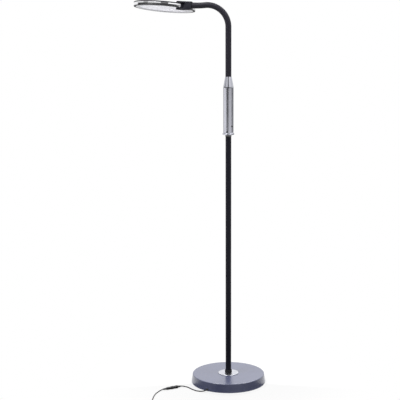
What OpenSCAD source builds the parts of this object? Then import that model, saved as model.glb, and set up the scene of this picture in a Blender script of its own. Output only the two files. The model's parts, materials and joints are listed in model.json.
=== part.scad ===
// Gooseneck floor lamp: weighted round base, slim two-part pole, bullet-shaped
// hand grip, flexible neck and a round flat lamp head held in a fork.
// Millimetres, +Z up, origin on the floor under the middle of the pole.
// The neck reaches towards -X and the cord leaves the base at the front left.

/* [Base] */
// Diameter of the base at the floor
base_d = 250; // [230:1:290]
// Diameter of the base's top face
base_top_d = 242; // [222:1:282]
// Height of the base's top face above the floor
base_h = 31; // [28:0.5:36]
// Wall of the base cover
base_wall = 2.5; // [1.5:0.1:3]
// Thickness of the soft pad under the base
pad_t = 1.5; // [1:0.1:3]
// Thickness of the steel closing plate
plate_t = 2; // [1.5:0.1:2]
// Diameter of the cast weight
weight_d = 196; // [160:1:200]
// Diameter of the bright disc round the foot of the pole
flange_d = 68.5; // [60:0.5:90]
// Thickness of the bright disc
flange_t = 1.2; // [1.1:0.1:4]
// Thickness of the seal under the bright disc
seal_t = 0.6; // [0.5:0.1:1.5]

/* [Pole] */
// Outer diameter of the pole
pole_d = 19; // [17:0.5:21]
// Wall of the pole tubes
pole_wall = 1.2; // [1:0.1:2]
// Height at which the two pole tubes meet
seam_z = 440; // [300:1:600]
// Outer diameter of the knurled collar
collar_d = 23.5; // [23:0.1:28]
// Height of the knurled collar
collar_h = 10; // [8:0.5:20]
// Outer diameter of the hollow threaded nipple
nipple_d = 10; // [9:0.5:12]
// Bore of the hollow threaded nipple
nipple_bore = 6.4; // [5:0.1:6.6]

/* [Handle] */
// Height of the underside of the handle's end ring
handle_z = 845; // [700:1:1000]
// Length of the handle with its end ring
handle_l = 190; // [186:1:260]
// Outer diameter of the handle
handle_d = 34; // [32:0.5:40]
// Wall of the handle sleeve
handle_wall = 2; // [1.5:0.1:2.5]
// Outer diameter of the end ring
ring_d = 38.5; // [36:0.5:46]
// Height of the end ring
ring_h = 5.5; // [4:0.5:8]
// Length of the rounded nose
nose_l = 37; // [34:1:50]
// Diameter of the push button
button_d = 5.6; // [4:0.1:7]
// How far the push button stands out
button_out = 1.8; // [1.5:0.1:3]
// Travel of the push button
button_travel = 1.2; // [0.8:0.1:1.4]

/* [Neck] */
// Outer diameter of the flexible neck
neck_d = 19.5; // [17:0.5:20]
// Upright length of the neck above the handle
neck_up = 160; // [120:1:220]
// Radius of the neck's bend, to its middle line
bend_r = 70; // [60:1:100]
// Length of the neck past the bend
neck_out = 43.6; // [35:0.1:80]
// Angle by which the neck points away to the back
neck_yaw = 12.5; // [0:0.5:40]
// Angle that the bend turns through
bend_turn = 96; // [80:1:110]
// Angle by which the fork rises at rest
fork_rise = 3.1; // [0:0.1:8]

/* [Fork] */
// Width of the fork
fork_w = 22; // [20:0.5:24]
// Thickness of the fork's upper prong
prong_up_t = 4.6; // [3.5:0.1:6]
// Thickness of the fork's lower prong
prong_low_t = 6.2; // [5:0.1:8]
// Distance from the end of the neck to the pivot pin
pin_reach = 44; // [40:0.5:60]
// Diameter of the pivot pin
pin_d = 5; // [4:0.1:6]
// Running clearance of the pins and spigots on the radius
run_gap = 0.05; // [0.02:0.01:0.09]
// Thickness of the spring washers beside the head
washer_t = 0.8; // [0.5:0.1:1]
// Angle by which the fork and head roll at rest
head_roll = 7.9; // [0:0.1:20]
// Angle by which the head is swung to the back at rest
head_swing = 45; // [0:1:45]

/* [Head] */
// Diameter of the lamp head
head_d = 206; // [180:1:240]
// Thickness of the lamp head
head_t = 15; // [14:0.5:15.5]
// Distance from the pivot pin to the rim's outer face
pin_inset = 10; // [9:0.1:12]
// Wall of the bright rim
rim_wall = 2.5; // [2:0.1:3]
// Thickness of the rim's flat underside
bezel_t = 1.6; // [1:0.1:2]
// Width of the rim's flat underside
bezel_w = 21; // [20:0.5:30]
// Height of the black cover's edge
cover_edge = 4; // [2.5:0.1:5]
// Thickness of the black cover's plate
cover_t = 2; // [1.5:0.1:2.4]
// Thickness of the opal diffuser
diffuser_t = 2; // [1.5:0.1:3]
// Thickness of the lamp board
board_t = 1.6; // [1:0.1:2]

/* [Cord] */
// Diameter of the lamp's cord
cord_d = 3.5; // [3:0.1:4]
// Diameter of the adapter's lead
lead_d = 3.2; // [3:0.1:3.6]
// Height of the cord's outlet above the floor
outlet_z = 7; // [7:0.1:9]
// Angle of the cord's outlet round the base
outlet_angle = 236; // [225:0.1:240]

/* [Hidden] */

$fn = 96;
eps = 0.01;            // overshoot of a cutting solid past a face
fit = 0.2;             // gap of parts that slide together once, on the radius

// Colours
dark_paint = [0.25, 0.26, 0.33];
black_paint = [0.12, 0.13, 0.16];
black_soft = [0.19, 0.19, 0.24];
black_gloss = [0.06, 0.06, 0.07];
silver = [0.72, 0.72, 0.76];
bright = [0.86, 0.87, 0.92];
steel = [0.6, 0.6, 0.62];
opal = [0.93, 0.93, 0.95];
board_green = [0.1, 0.35, 0.2];

// Base
base_r = base_d / 2;
base_top_r = base_top_d / 2;
edge_r = 2.5;                              // rounding of the cover's top edge
floor_z = pad_t;                           // underside of plate and cover
plate_z = pad_t + plate_t;                 // top of the plate
cover_in_z = base_h - base_wall;           // underside of the cover's top
plate_r = base_r - base_wall - 1.5;
wall_foot = 1.5;                           // plain height at the foot of the cover's wall
function wall_out(z) = base_r + (base_top_r + 0.3 - base_r)
    * max(0, z - floor_z - wall_foot) / (base_h - edge_r - floor_z - wall_foot);
function wall_in(z) = plate_r + fit + (base_top_r - base_wall - plate_r - fit)
    * max(0, z - plate_z) / (cover_in_z - 2 - plate_z);
lug_r = 4;                                 // pillars that take the base screws
lug_ring = plate_r - 9;
lug_count = 5;
base_screw_r = 1.5;
base_screw_l = 14;
weight_h = cover_in_z - plate_z - 3.5;     // plain height of the weight
hub_r = 30;                                // raised middle of the weight
nut_pocket_r = 14;
groove_w = 6;                              // channel for the wire in the weight
nipple_z = outlet_z + cord_d / 2 + 0.3;
nut_pocket_z = nipple_z + 8.2;             // ceiling of the nut's pocket
nut_t = 6;
nut_af = 17;
nut_washer_t = 2;
flange_z = base_h + seal_t;
pole_z = flange_z + flange_t;              // foot of the pole and of the collar
foot_l = 30;

// Pole
pole_r = pole_d / 2;
pole_in_r = pole_r - pole_wall;
coupler_l = 40;
knurls = 44;
knurl_depth = 0.5;
collar_plain_r = collar_d / 2 - knurl_depth - 0.25;
collar_foot = 0.8;                         // plain foot of the collar
collar_screw_r = 1.4;
collar_edge = 1.2;                         // plain top edge of the collar

// Handle
handle_r = handle_d / 2;
handle_in_r = handle_r - handle_wall;
handle_top = handle_z + handle_l;
sleeve_z = handle_z + ring_h;
nose_z = handle_top - nose_l;
spigot_h = 11.5;                           // ring's spigot inside the sleeve
bush_flange_h = 6;
bush_flange_z = sleeve_z + spigot_h;
bush_top = bush_flange_z + bush_flange_h;
bush_r = 12;
bush_skirt = 7;
nose_gap = 0.35;                           // between neck and nose opening
nose_soft = 1 / 6;                         // share of the nose over which its slope sets in
set_screw_r = 3;
set_screw_z = sleeve_z + 4.8;
set_screw_angle = 255;                     // round the pole, from +X
set_screw_sunk = 1.4;
button_angle = 313;
button_z = bush_top + 5.6;
switch_size = 8;
switch_in = 4;                             // inner face of the switch body
carrier_z = bush_top + 15;
carrier_top = nose_z - 18;
carrier_disc = 3;
board_w = 20;
board_y = 2.2;
carrier_y = board_y + board_t;

// Neck
neck_r = neck_d / 2;
spigot_r = 7;                              // turned ends of the neck
socket_z = nose_z - 13;
neck_in = 5;                               // how far the neck enters the nose
socket_top = handle_top - neck_in;
end_spigot = 12;                           // spigot inside the neck's ends
fork_spigot = 18;                          // spigot inside the fork
link_gap = 0.3;                            // from a link's tip to the hinge
cone_angle = 15.5;                         // end cones, so that links can tilt
cone_h = (neck_r - 0.3) * tan(cone_angle);
trim = cone_h + link_gap;
up_links = 4;
bend_links = 4;
up_step = neck_up / up_links;
bend_step = bend_turn / bend_links;
trim_a = trim / bend_r * 180 / PI;
bend_z = handle_top + neck_up;
// last link: it turns back up from the bend's end to the fork's rise
out_turn = bend_turn - 90 + fork_rise;
out_r = neck_out / (out_turn * PI / 180);
trim_out = trim / out_r * 180 / PI;

// Head, drawn with the pivot pin at the origin and the head's middle at -X
head_r = head_d / 2;
arm = head_r - pin_inset;                  // from the pin to the head's middle
low = -head_t / 2;
high = head_t / 2;
rim_top = high - cover_edge;
bezel_in = head_r - bezel_w;
rest_z = low + bezel_t;                    // the diffuser lies here
diffuser_r = bezel_in + 2;
board_r = bezel_in - 1;
board_z = high - cover_t - board_t;
boss_r = 8;
prong_end_r = 9;                           // round ends of the fork's prongs
pillar_r = 3.5;
pillar_ring = head_r - rim_wall - pillar_r + 0.5;
pillar_angles = [45, 135, 225, 315];
cover_screw_r = 1.4;
cover_head_r = 2.6;
cover_head_t = 1.2;
chip = 3;
chip_t = 0.6;
slot_h = head_t + 2 * washer_t + 0.2;      // gap between the fork's prongs
fork_drop = 2;                             // from the neck's axis down to the slot's middle
fork_up = slot_h / 2 + prong_up_t - fork_drop;
fork_down = slot_h / 2 + prong_low_t + fork_drop;
fork_up_0 = fork_up + 0.8;                 // the same at the neck
fork_down_0 = fork_down - 3;
fork_slope = 25;                           // length over which the fork grows deeper
fork_screw_x = 9.4;
prong_taper = 16;                          // length over which the prongs grow narrow
prong_tip = [3, 2];                        // slope below the lower prong's end
fork_round = 0.9;                          // depth of the round on the fork's long edges
fork_screw_r = 1.5;
swing_stop = head_swing + 1;
nose_clear = 0.4;                          // between the rim and the fork's nose

// Cord: free routes as round points, then the pieces on it
outlet_dir = [cos(outlet_angle), sin(outlet_angle)];
gland_r = cord_d / 2 + 1.2;
gland_lip = 0.5;                           // lip inside the wall
gland_lip_t = 2.5;
gland_boot = 6;                            // length of the part outside the wall
gland_face = max(wall_out(outlet_z - gland_r - 1), wall_out(outlet_z + gland_r + 1));
gland_in = min(wall_in(outlet_z - gland_r - gland_lip), wall_in(outlet_z + gland_r + gland_lip))
    - gland_lip_t - 0.25;
gland_out = gland_face + gland_boot;
wire_gap = 0.4;                            // from the wire's end to the cord outside
wire_knee_r = cord_d / 2 + 0.4;            // ball where the wire turns up
lamp_cord_points = [[-73.3, -108.7, 7], [-75.2, -111.4, 6.7], [-79.6, -112.8, 5.4],
    [-87.5, -109.6, 3], [-97, -106.3, 2], [-106.5, -101.5, 1.8],
    [-114, -94, 1.8], [-122, -85, 1.8], [-129, -75, 1.8], [-136, -65.5, 1.8], [-144, -60, 2],
    [-152, -60.3, 3.8], [-160, -64, 5.2]];
jack_at = [-160, -64, 5.2];
jack_angle = 209.4;
jack_relief = 12;
jack_body = 24;
jack_r = 5.2;
plug_body = 16;
plug_relief = 14;
plug_r = 4.6;
adapter_lead_points = [[-217.5, -96.4, 5.2], [-226, -102.5, 3], [-233, -113, 1.6],
    [-238, -126, 1.6], [-241.5, -140, 1.6], [-244, -156, 1.6], [-245.8, -174, 1.6],
    [-246.8, -192, 1.6], [-247, -212, 1.7], [-247, -232, 2.2], [-247.2, -249, 2.3]];
coil_at = [-224.2, -262];
coil_mid_r = 18;
coil_columns = 4;
coil_layers = 4;
tie_t = 0.7;
coil_in = coil_mid_r - coil_columns * lead_d / 2;
coil_out = coil_mid_r + coil_columns * lead_d / 2;
coil_top = tie_t + coil_layers * lead_d;
tie_w = 4;
tie_gap = coil_in - sqrt(coil_in * coil_in - tie_w * tie_w / 4) + 0.03;
tie_angle = 60;
lead_tail_points = [[-211.5, -285.1, 11.9], [-204, -286.2, 12], [-196, -288.4, 12.4],
    [-188, -290.3, 12.8], [-180, -291, 13]];
adapter_at = [-130, -293];
adapter_size = [64, 38, 30];
adapter_round = 4;
adapter_relief = 18;
adapter_relief_r = 3.4;
prong_r = 2;
prong_l = 19;
prong_gap = 19;

// Places along the neck ----------------------------------------------------

// Stands its children upright in the neck's own plane
module in_neck_plane() rotate([0, 0, -neck_yaw]) children();

// End of the bend's middle line
bend_end = [-bend_r * (1 - cos(bend_turn)), 0, bend_z + bend_r * sin(bend_turn)];

// End of the neck: the last link curves back by out_turn about a middle above it
function out_point(a) = bend_end
    + out_r * [cos(bend_turn) - cos(bend_turn - a), 0, sin(bend_turn) - sin(bend_turn - a)];
module at_out(a) in_neck_plane() translate(out_point(a)) rotate([0, a - bend_turn, 0])
    children();

// Fork's own frame: origin at the end of the neck, -X outwards, +Z up
module at_fork() in_neck_plane() translate(out_point(out_turn)) rotate([0, fork_rise, 0])
    rotate([-head_roll, 0, 0]) children();

// Head's own frame: origin at the pivot pin, -X to the middle of the head
module at_head() at_fork() translate([-pin_reach, 0, -fork_drop]) rotate([0, 0, -head_swing])
    children();

// Radially outwards from the pole's axis at a height and an angle
module radial(z, angle) translate([0, 0, z]) rotate([0, 0, angle]) rotate([0, 90, 0])
    children();

module ring(r_out, r_in, h) difference() {
    cylinder(r = r_out, h = h);
    translate([0, 0, -eps]) cylinder(r = r_in, h = h + 2 * eps);
}

// Base ----------------------------------------------------------------------

module base_pad() color(black_soft) cylinder(r = plate_r - 5, h = pad_t);

module base_plate() color(steel) translate([0, 0, floor_z]) difference() {
    cylinder(r = plate_r, h = plate_t);
    for (i = [0 : lug_count - 1]) rotate([0, 0, 360 / lug_count * i])
        translate([lug_ring, 0, -eps]) {
            cylinder(r = base_screw_r + fit, h = plate_t + 2 * eps, $fn = 32);
            cylinder(r = 2 * base_screw_r + fit, h = 1.6, $fn = 32);
        }
}

module base_weight() color(black_paint) difference() {
    translate([0, 0, plate_z]) union() {
        cylinder(d = weight_d, h = weight_h);
        cylinder(r = hub_r, h = cover_in_z - plate_z);
    }
    translate([0, 0, plate_z - eps]) cylinder(r = nut_pocket_r, h = nut_pocket_z - plate_z + eps);
    cylinder(r = nipple_d / 2 + fit, h = base_h);
    radial(outlet_z, outlet_angle)
        translate([-groove_w / 2, -groove_w / 2, 0])
            cube([groove_w / 2 + outlet_z - plate_z + eps, groove_w, base_r]);
}

module base_cover() color(dark_paint) difference() {
    union() {
        difference() {
            rotate_extrude($fn = 180) polygon(concat(
                [[0, floor_z], [base_r, floor_z], [base_r, floor_z + wall_foot]],
                [for (a = [0 : 15 : 90]) [base_top_r - edge_r + edge_r * cos(a) + 0.3 * (1 - a / 90),
                    base_h - edge_r + edge_r * sin(a)]],
                [[0, base_h]]));
            translate([0, 0, -eps]) cylinder(r = plate_r + fit, h = plate_z + eps);
            rotate_extrude($fn = 180) polygon([[0, plate_z - eps], [plate_r + fit, plate_z - eps],
                [base_top_r - base_wall, cover_in_z - 2], [base_top_r - base_wall - 2, cover_in_z],
                [0, cover_in_z]]);
        }
        for (i = [0 : lug_count - 1]) rotate([0, 0, 360 / lug_count * i])
            translate([lug_ring, 0, plate_z])
                cylinder(r = lug_r, h = cover_in_z - plate_z + 1, $fn = 32);
    }
    for (i = [0 : lug_count - 1]) rotate([0, 0, 360 / lug_count * i])
        translate([lug_ring, 0, floor_z]) cylinder(r = base_screw_r, h = base_screw_l, $fn = 32);
    cylinder(r = nipple_d / 2 + fit, h = base_h + 1);
    radial(outlet_z, outlet_angle) cylinder(r = gland_r, h = gland_out, $fn = 32);
}

module base_screws() color(steel) for (i = [0 : lug_count - 1])
    rotate([0, 0, 360 / lug_count * i]) translate([lug_ring, 0, floor_z]) {
        cylinder(r = base_screw_r, h = base_screw_l, $fn = 32);
        cylinder(r = 2 * base_screw_r, h = 1.5, $fn = 32);
    }

// Strain relief in the base's side, with the cord's bore through it
module cord_gland() color(black_soft) radial(outlet_z, outlet_angle) difference() {
    union() {
        translate([0, 0, gland_in]) cylinder(r = gland_r, h = gland_face - gland_in + 1, $fn = 32);
        translate([0, 0, gland_in]) cylinder(r = gland_r + gland_lip, h = gland_lip_t, $fn = 32);
        translate([0, 0, gland_face + 0.1]) cylinder(r1 = gland_r + 1, r2 = gland_r - 0.4,
            h = gland_boot - 0.1, $fn = 32);
    }
    translate([0, 0, gland_in - eps]) cylinder(r = cord_d / 2, h = gland_out - gland_in + 1,
        $fn = 32);
}

module flange_seal() color(black_soft) translate([0, 0, base_h])
    ring(flange_d / 2, nipple_d / 2 + fit, seal_t);

module flange_disc() color(bright) translate([0, 0, flange_z]) difference() {
    rotate_extrude() polygon([[0, 0], [flange_d / 2, 0], [flange_d / 2, flange_t - 1],
        [flange_d / 2 - 0.3, flange_t - 0.3], [flange_d / 2 - 1, flange_t], [0, flange_t]]);
    translate([0, 0, -eps]) cylinder(r = nipple_d / 2 + fit, h = flange_t + 1);
}

module pole_collar() color(black_soft) translate([0, 0, pole_z]) difference() {
    union() {
        translate([0, 0, collar_foot]) linear_extrude(collar_h - collar_foot - collar_edge)
            polygon([for (i = [0 : 2 * knurls - 1])
                (collar_d / 2 - (i % 2) * knurl_depth)
                    * [cos(i * 180 / knurls), sin(i * 180 / knurls)]]);
        cylinder(r = collar_plain_r, h = collar_h);
    }
    translate([0, 0, -eps]) cylinder(r = pole_r, h = collar_h + 1);
    radial(collar_h / 2, 90) cylinder(r = collar_screw_r, h = collar_d, $fn = 32);
}

module collar_screw() color(steel) radial(pole_z + collar_h / 2, 90)
    translate([0, 0, pole_r]) difference() {
        cylinder(r = collar_screw_r, h = collar_plain_r - pole_r - 0.2, $fn = 32);
        translate([0, 0, collar_plain_r - pole_r - 1])
            cylinder(r = 0.8, h = 2, $fn = 6);
    }

module pole_nipple() color(steel) translate([0, 0, nipple_z])
    ring(nipple_d / 2, nipple_bore / 2, pole_z + foot_l - nipple_z);

module nipple_washer() color(steel) translate([0, 0, nut_pocket_z - nut_washer_t])
    ring(nut_pocket_r - 2, nipple_d / 2, nut_washer_t);

module nipple_nut() color(steel) translate([0, 0, nut_pocket_z - nut_washer_t - nut_t])
    difference() {
        cylinder(d = nut_af / cos(30), h = nut_t, $fn = 6);
        translate([0, 0, -eps]) cylinder(r = nipple_d / 2, h = nut_t + 1);
    }

// Pole ----------------------------------------------------------------------

module pole_foot() color(steel) translate([0, 0, pole_z])
    ring(pole_in_r, nipple_d / 2, foot_l);

module pole_lower() color(black_paint) translate([0, 0, pole_z])
    ring(pole_r, pole_in_r, seam_z - pole_z);

module pole_coupler() color(steel) translate([0, 0, seam_z - coupler_l / 2])
    ring(pole_in_r, nipple_d / 2, coupler_l);

module pole_upper() color(black_paint) translate([0, 0, seam_z])
    ring(pole_r, pole_in_r, bush_top - 2 - seam_z);

// Wire from the outlet to the middle of the base and up to the driver board
module pole_wire() color(black_soft) union() {
    radial(outlet_z, outlet_angle) cylinder(r = cord_d / 2, h = gland_out - wire_gap, $fn = 24);
    translate([0, 0, outlet_z]) sphere(r = wire_knee_r, $fn = 24);
    translate([0, 0, outlet_z]) cylinder(r = cord_d / 2, h = carrier_z + carrier_disc - outlet_z,
        $fn = 24);
}

// Handle --------------------------------------------------------------------

module set_screw_hole() radial(set_screw_z, set_screw_angle) translate([0, 0, pole_r])
    cylinder(r = set_screw_r, h = handle_r, $fn = 32);

module pole_bush() color(black_gloss) difference() {
    union() {
        translate([0, 0, handle_z]) cylinder(r = bush_r, h = bush_top - handle_z);
        translate([0, 0, bush_flange_z]) cylinder(r = handle_in_r, h = bush_flange_h);
        translate([0, 0, handle_z - bush_skirt])
            cylinder(r1 = pole_r + 0.4, r2 = pole_r + 1, h = bush_skirt);
    }
    translate([0, 0, handle_z - bush_skirt - eps])
        cylinder(r = pole_r, h = bush_top - 2 - handle_z + bush_skirt);
    cylinder(r = pole_in_r, h = bush_top + 1);
    set_screw_hole();
}

module handle_ring() color(silver) difference() {
    union() {
        translate([0, 0, handle_z]) rotate_extrude() polygon([[0, 0], [ring_d / 2 - 0.8, 0],
            [ring_d / 2, 0.8], [ring_d / 2, ring_h - 1.2], [ring_d / 2 - 1.2, ring_h],
            [0, ring_h]]);
        translate([0, 0, handle_z]) cylinder(r = handle_in_r, h = ring_h + spigot_h);
    }
    translate([0, 0, handle_z - eps]) cylinder(r = bush_r, h = ring_h + spigot_h + 1);
    set_screw_hole();
}

// Radius of the nose at t from 0, where it starts, to 1 at its tip: a cone with a soft start
function nose_r(t) = let (tip = neck_r + nose_gap + 0.5) handle_r - (handle_r - tip)
    * (t < nose_soft ? t * t / (2 * nose_soft) : t - nose_soft / 2) / (1 - nose_soft / 2);

module handle_sleeve() color(silver) difference() {
    rotate_extrude() polygon(concat(
        [[neck_r + nose_gap, sleeve_z], [handle_r, sleeve_z]],
        [for (i = [0 : 12]) [nose_r(i / 12), nose_z + nose_l * i / 12]],
        [[neck_r + nose_gap, handle_top]]));
    rotate_extrude() polygon(concat(
        [[0, sleeve_z - 1], [handle_in_r, sleeve_z - 1]],
        [for (i = [0 : 12]) [max(nose_r(i / 12) - handle_wall, neck_r + nose_gap),
            nose_z + nose_l * i / 12]],
        [[0, handle_top]]));
    radial(set_screw_z, set_screw_angle) cylinder(r = set_screw_r, h = ring_d, $fn = 32);
    radial(button_z, button_angle) cylinder(r = button_d / 2 + fit, h = ring_d, $fn = 32);
}

module handle_screw() color(black_gloss) radial(set_screw_z, set_screw_angle)
    translate([0, 0, pole_r]) difference() {
        cylinder(r = set_screw_r, h = handle_r - pole_r - set_screw_sunk, $fn = 32);
        translate([0, 0, handle_r - pole_r - set_screw_sunk - 1.8])
            cylinder(r = 1.2, h = 3, $fn = 6);
    }

module switch_body() color(black_paint) radial(button_z, button_angle) difference() {
    translate([-switch_size / 2, -switch_size / 2, switch_in])
        cube([switch_size / 2 + button_z - bush_top, switch_size,
            handle_in_r - switch_in - 1.2]);
    translate([0, 0, handle_in_r - 6]) cylinder(r = button_d / 2 - 1 + fit, h = 8, $fn = 32);
}

module switch_button() color(black_gloss) radial(button_z, button_angle) union() {
    translate([0, 0, handle_in_r + 0.6])
        cylinder(r = button_d / 2, h = handle_r - handle_in_r - 0.6 + button_out - 0.6, $fn = 32);
    translate([0, 0, handle_r + button_out - 0.6])
        cylinder(r1 = button_d / 2, r2 = button_d / 2 - 0.6, h = 0.6, $fn = 32);
    translate([0, 0, handle_in_r - 6 + button_travel + 0.2])
        cylinder(r = button_d / 2 - 1, h = 6, $fn = 32);
}

module driver_carrier() color(opal) difference() {
    union() {
        for (z = [carrier_z, carrier_top - carrier_disc]) translate([0, 0, z])
            cylinder(r = handle_in_r - fit, h = carrier_disc);
        translate([-board_w / 2, carrier_y, carrier_z])
            cube([board_w, 2, carrier_top - carrier_z]);
    }
    translate([0, 0, carrier_z - eps]) cylinder(r = cord_d / 2 + fit, h = carrier_disc + 1);
    translate([0, 0, carrier_top - carrier_disc - eps]) cylinder(r = 4, h = carrier_disc + 1);
}

module driver_board() color(board_green)
    translate([-board_w / 2, board_y, carrier_z + carrier_disc])
        cube([board_w, board_t, carrier_top - carrier_z - 2 * carrier_disc]);

// Choke, capacitor and chip that stand on the board
module driver_parts() color(black_paint) {
    length = carrier_top - carrier_z - 2 * carrier_disc;
    translate([0, board_y, carrier_z + carrier_disc + length * 0.25]) rotate([90, 0, 0])
        cylinder(r = 6, h = 7, $fn = 32);
    translate([0, board_y, carrier_z + carrier_disc + length * 0.52]) rotate([90, 0, 0])
        cylinder(r = 4, h = 10, $fn = 32);
    translate([-4, board_y - 2, carrier_z + carrier_disc + length * 0.72]) cube([8, 2, 8]);
}

// Neck ----------------------------------------------------------------------

module neck_socket() color(steel) difference() {
    union() {
        translate([0, 0, socket_z]) cylinder(r = handle_in_r, h = nose_z - socket_z);
        translate([0, 0, nose_z]) cylinder(r1 = handle_in_r - 1, r2 = neck_r - 1.5,
            h = socket_top - 6 - nose_z);
        translate([0, 0, nose_z]) cylinder(r = neck_r - 1.5, h = socket_top - nose_z);
    }
    translate([0, 0, socket_z - eps]) cylinder(r = spigot_r + run_gap, h = nose_l + 14);
    translate([0, 0, socket_z - eps]) cylinder(r = spigot_r + 3, h = 4);
}

module swivel_clip() color(steel) translate([0, 0, socket_z + 2.4])
    ring(spigot_r + 2, spigot_r - 1, 1.2);

// Turned spigot that carries the neck and turns in the socket
module neck_root() color(steel) difference() {
    translate([0, 0, socket_z]) cylinder(r = spigot_r, h = handle_top - neck_in + end_spigot
        - socket_z);
    translate([0, 0, socket_z + 2.4]) ring(spigot_r + 1, spigot_r - 1, 1.2);
    translate([0, 0, socket_z - eps]) cylinder(r = 2.5, h = handle_top + end_spigot - socket_z,
        $fn = 32);
}

// End cone of a link: its tip points along +Z to the hinge
module link_cone() cylinder(r1 = neck_r, r2 = 0.3, h = cone_h);

module straight_link(z_low, z_high, low_cone) union() {
    start = low_cone ? trim : 0;
    translate([0, 0, z_low + start]) cylinder(r = neck_r, h = z_high - trim - z_low - start);
    translate([0, 0, z_high - trim]) link_cone();
    if (low_cone) translate([0, 0, z_low + trim]) mirror([0, 0, 1]) link_cone();
}

module neck_link_1() color(black_soft) in_neck_plane() difference() {
    straight_link(handle_top - neck_in, handle_top + up_step, false);
    translate([0, 0, handle_top - neck_in - eps]) cylinder(r = spigot_r, h = end_spigot + eps);
}

module up_link(i) color(black_soft) in_neck_plane()
    straight_link(handle_top + up_step * (i - 1), handle_top + up_step * i, true);

module neck_link_2() up_link(2);
module neck_link_3() up_link(3);
module neck_link_4() up_link(4);

// A curved link round the Y axis, from the angle 0 to bend_step
module curved_link() union() {
    rotate([90, 0, 0]) rotate([0, 0, trim_a]) rotate_extrude(angle = bend_step - 2 * trim_a)
        translate([bend_r, 0]) circle(r = neck_r, $fn = 48);
    rotate([0, -trim_a, 0]) translate([bend_r, 0, 0]) mirror([0, 0, 1]) link_cone();
    rotate([0, trim_a - bend_step, 0]) translate([bend_r, 0, 0]) link_cone();
}

// The link of the bend that starts at the angle a
module bend_link(a) color(black_soft) in_neck_plane() translate([-bend_r, 0, bend_z])
    rotate([0, -a, 0]) curved_link();

module neck_link_5() bend_link(0);
module neck_link_6() bend_link(bend_step);
module neck_link_7() bend_link(2 * bend_step);
module neck_link_8() bend_link(3 * bend_step);

module neck_link_9() color(black_soft) difference() {
    union() {
        at_out(trim_out) mirror([0, 0, 1]) link_cone();
        in_neck_plane() translate(bend_end + out_r * [cos(bend_turn), 0, sin(bend_turn)])
            rotate([90, 0, 0]) rotate([0, 0, bend_turn + 180 - out_turn])
                rotate_extrude(angle = out_turn - trim_out)
                    translate([out_r, 0]) circle(r = neck_r, $fn = 48);
    }
    at_fork() rotate([0, 90, 0]) translate([0, 0, -1]) cylinder(r = spigot_r, h = end_spigot + 1);
}

module neck_end() color(steel) at_fork() rotate([0, 90, 0]) difference() {
    translate([0, 0, -fork_spigot]) cylinder(r = spigot_r, h = fork_spigot + end_spigot);
    translate([0, 0, -fork_spigot - eps]) cylinder(r = 2.5, h = fork_spigot + end_spigot + 1,
        $fn = 32);
    translate([0, 0, -11]) ring(spigot_r + 1, spigot_r - 1, 3.2);
}

// Fork and pivot ------------------------------------------------------------

module fork() color(black_gloss) at_fork() difference() {
    intersection() {
        translate([0, 0, -2 * fork_down]) linear_extrude(4 * fork_down) union() {
            polygon([[1, -fork_w / 2], [1, fork_w / 2],
                [-pin_reach + prong_taper, fork_w / 2], [-pin_reach, prong_end_r],
                [-pin_reach, -prong_end_r], [-pin_reach + prong_taper, -fork_w / 2]]);
            translate([-pin_reach, 0]) circle(r = prong_end_r);
        }
        rotate([90, 0, 0]) translate([0, 0, -fork_w]) linear_extrude(2 * fork_w) polygon([
            [-run_gap, fork_up_0], [-fork_slope, fork_up], [-pin_reach - fork_w, fork_up],
            [-pin_reach - fork_w, prong_tip[1] - fork_down],
            [-pin_reach - prong_end_r, prong_tip[1] - fork_down],
            [-pin_reach - prong_end_r + prong_tip[0], -fork_down], [-fork_slope, -fork_down],
            [-run_gap, -fork_down_0]]);
        translate([2, 0, (fork_up - fork_down) / 2]) rotate([0, -90, 0])
            cylinder(r = norm([fork_w, fork_up + fork_down]) / 2 - fork_round, h = pin_reach + fork_w);
    }
    for (side = [-1, 1]) translate([-pin_reach, 0, -fork_drop - slot_h / 2])
        rotate([0, 0, side * swing_stop]) translate([-arm, 0, 0])
            cylinder(r = head_r + nose_clear, h = slot_h, $fn = 240);
    translate([-pin_reach, 0, -2 * fork_down]) cylinder(d = pin_d, h = 4 * fork_down, $fn = 48);
    rotate([0, -90, 0]) translate([0, 0, -eps]) cylinder(r = spigot_r + run_gap,
        h = fork_spigot + 0.5);
    translate([-fork_screw_x, 0, -2 * fork_down])
        cylinder(r = fork_screw_r, h = 2 * fork_down - spigot_r + 0.5, $fn = 32);
}

// Grub screw from below: its tip runs in the groove of the neck's end
module fork_screw() color(steel) at_fork() translate([-fork_screw_x, 0, -fork_down_0 - 0.5])
    cylinder(r = fork_screw_r, h = fork_down_0 + 0.5 - spigot_r + 0.6, $fn = 32);

module pivot_pin() color(steel) at_fork() translate([-pin_reach, 0, -fork_down + 0.1])
    cylinder(d = pin_d, h = fork_up + fork_down - 0.2, $fn = 48);

module pivot_washers() color(steel) at_fork() translate([-pin_reach, 0, -fork_drop])
    for (side = [0, 1]) mirror([0, 0, side]) translate([0, 0, slot_h / 2 - washer_t])
        ring(boss_r - 1, pin_d / 2, washer_t);

// Head ----------------------------------------------------------------------

module at_pillars() for (a = pillar_angles) rotate([0, 0, a]) translate([pillar_ring, 0, 0])
    rotate([0, 0, 170]) children();

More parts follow.
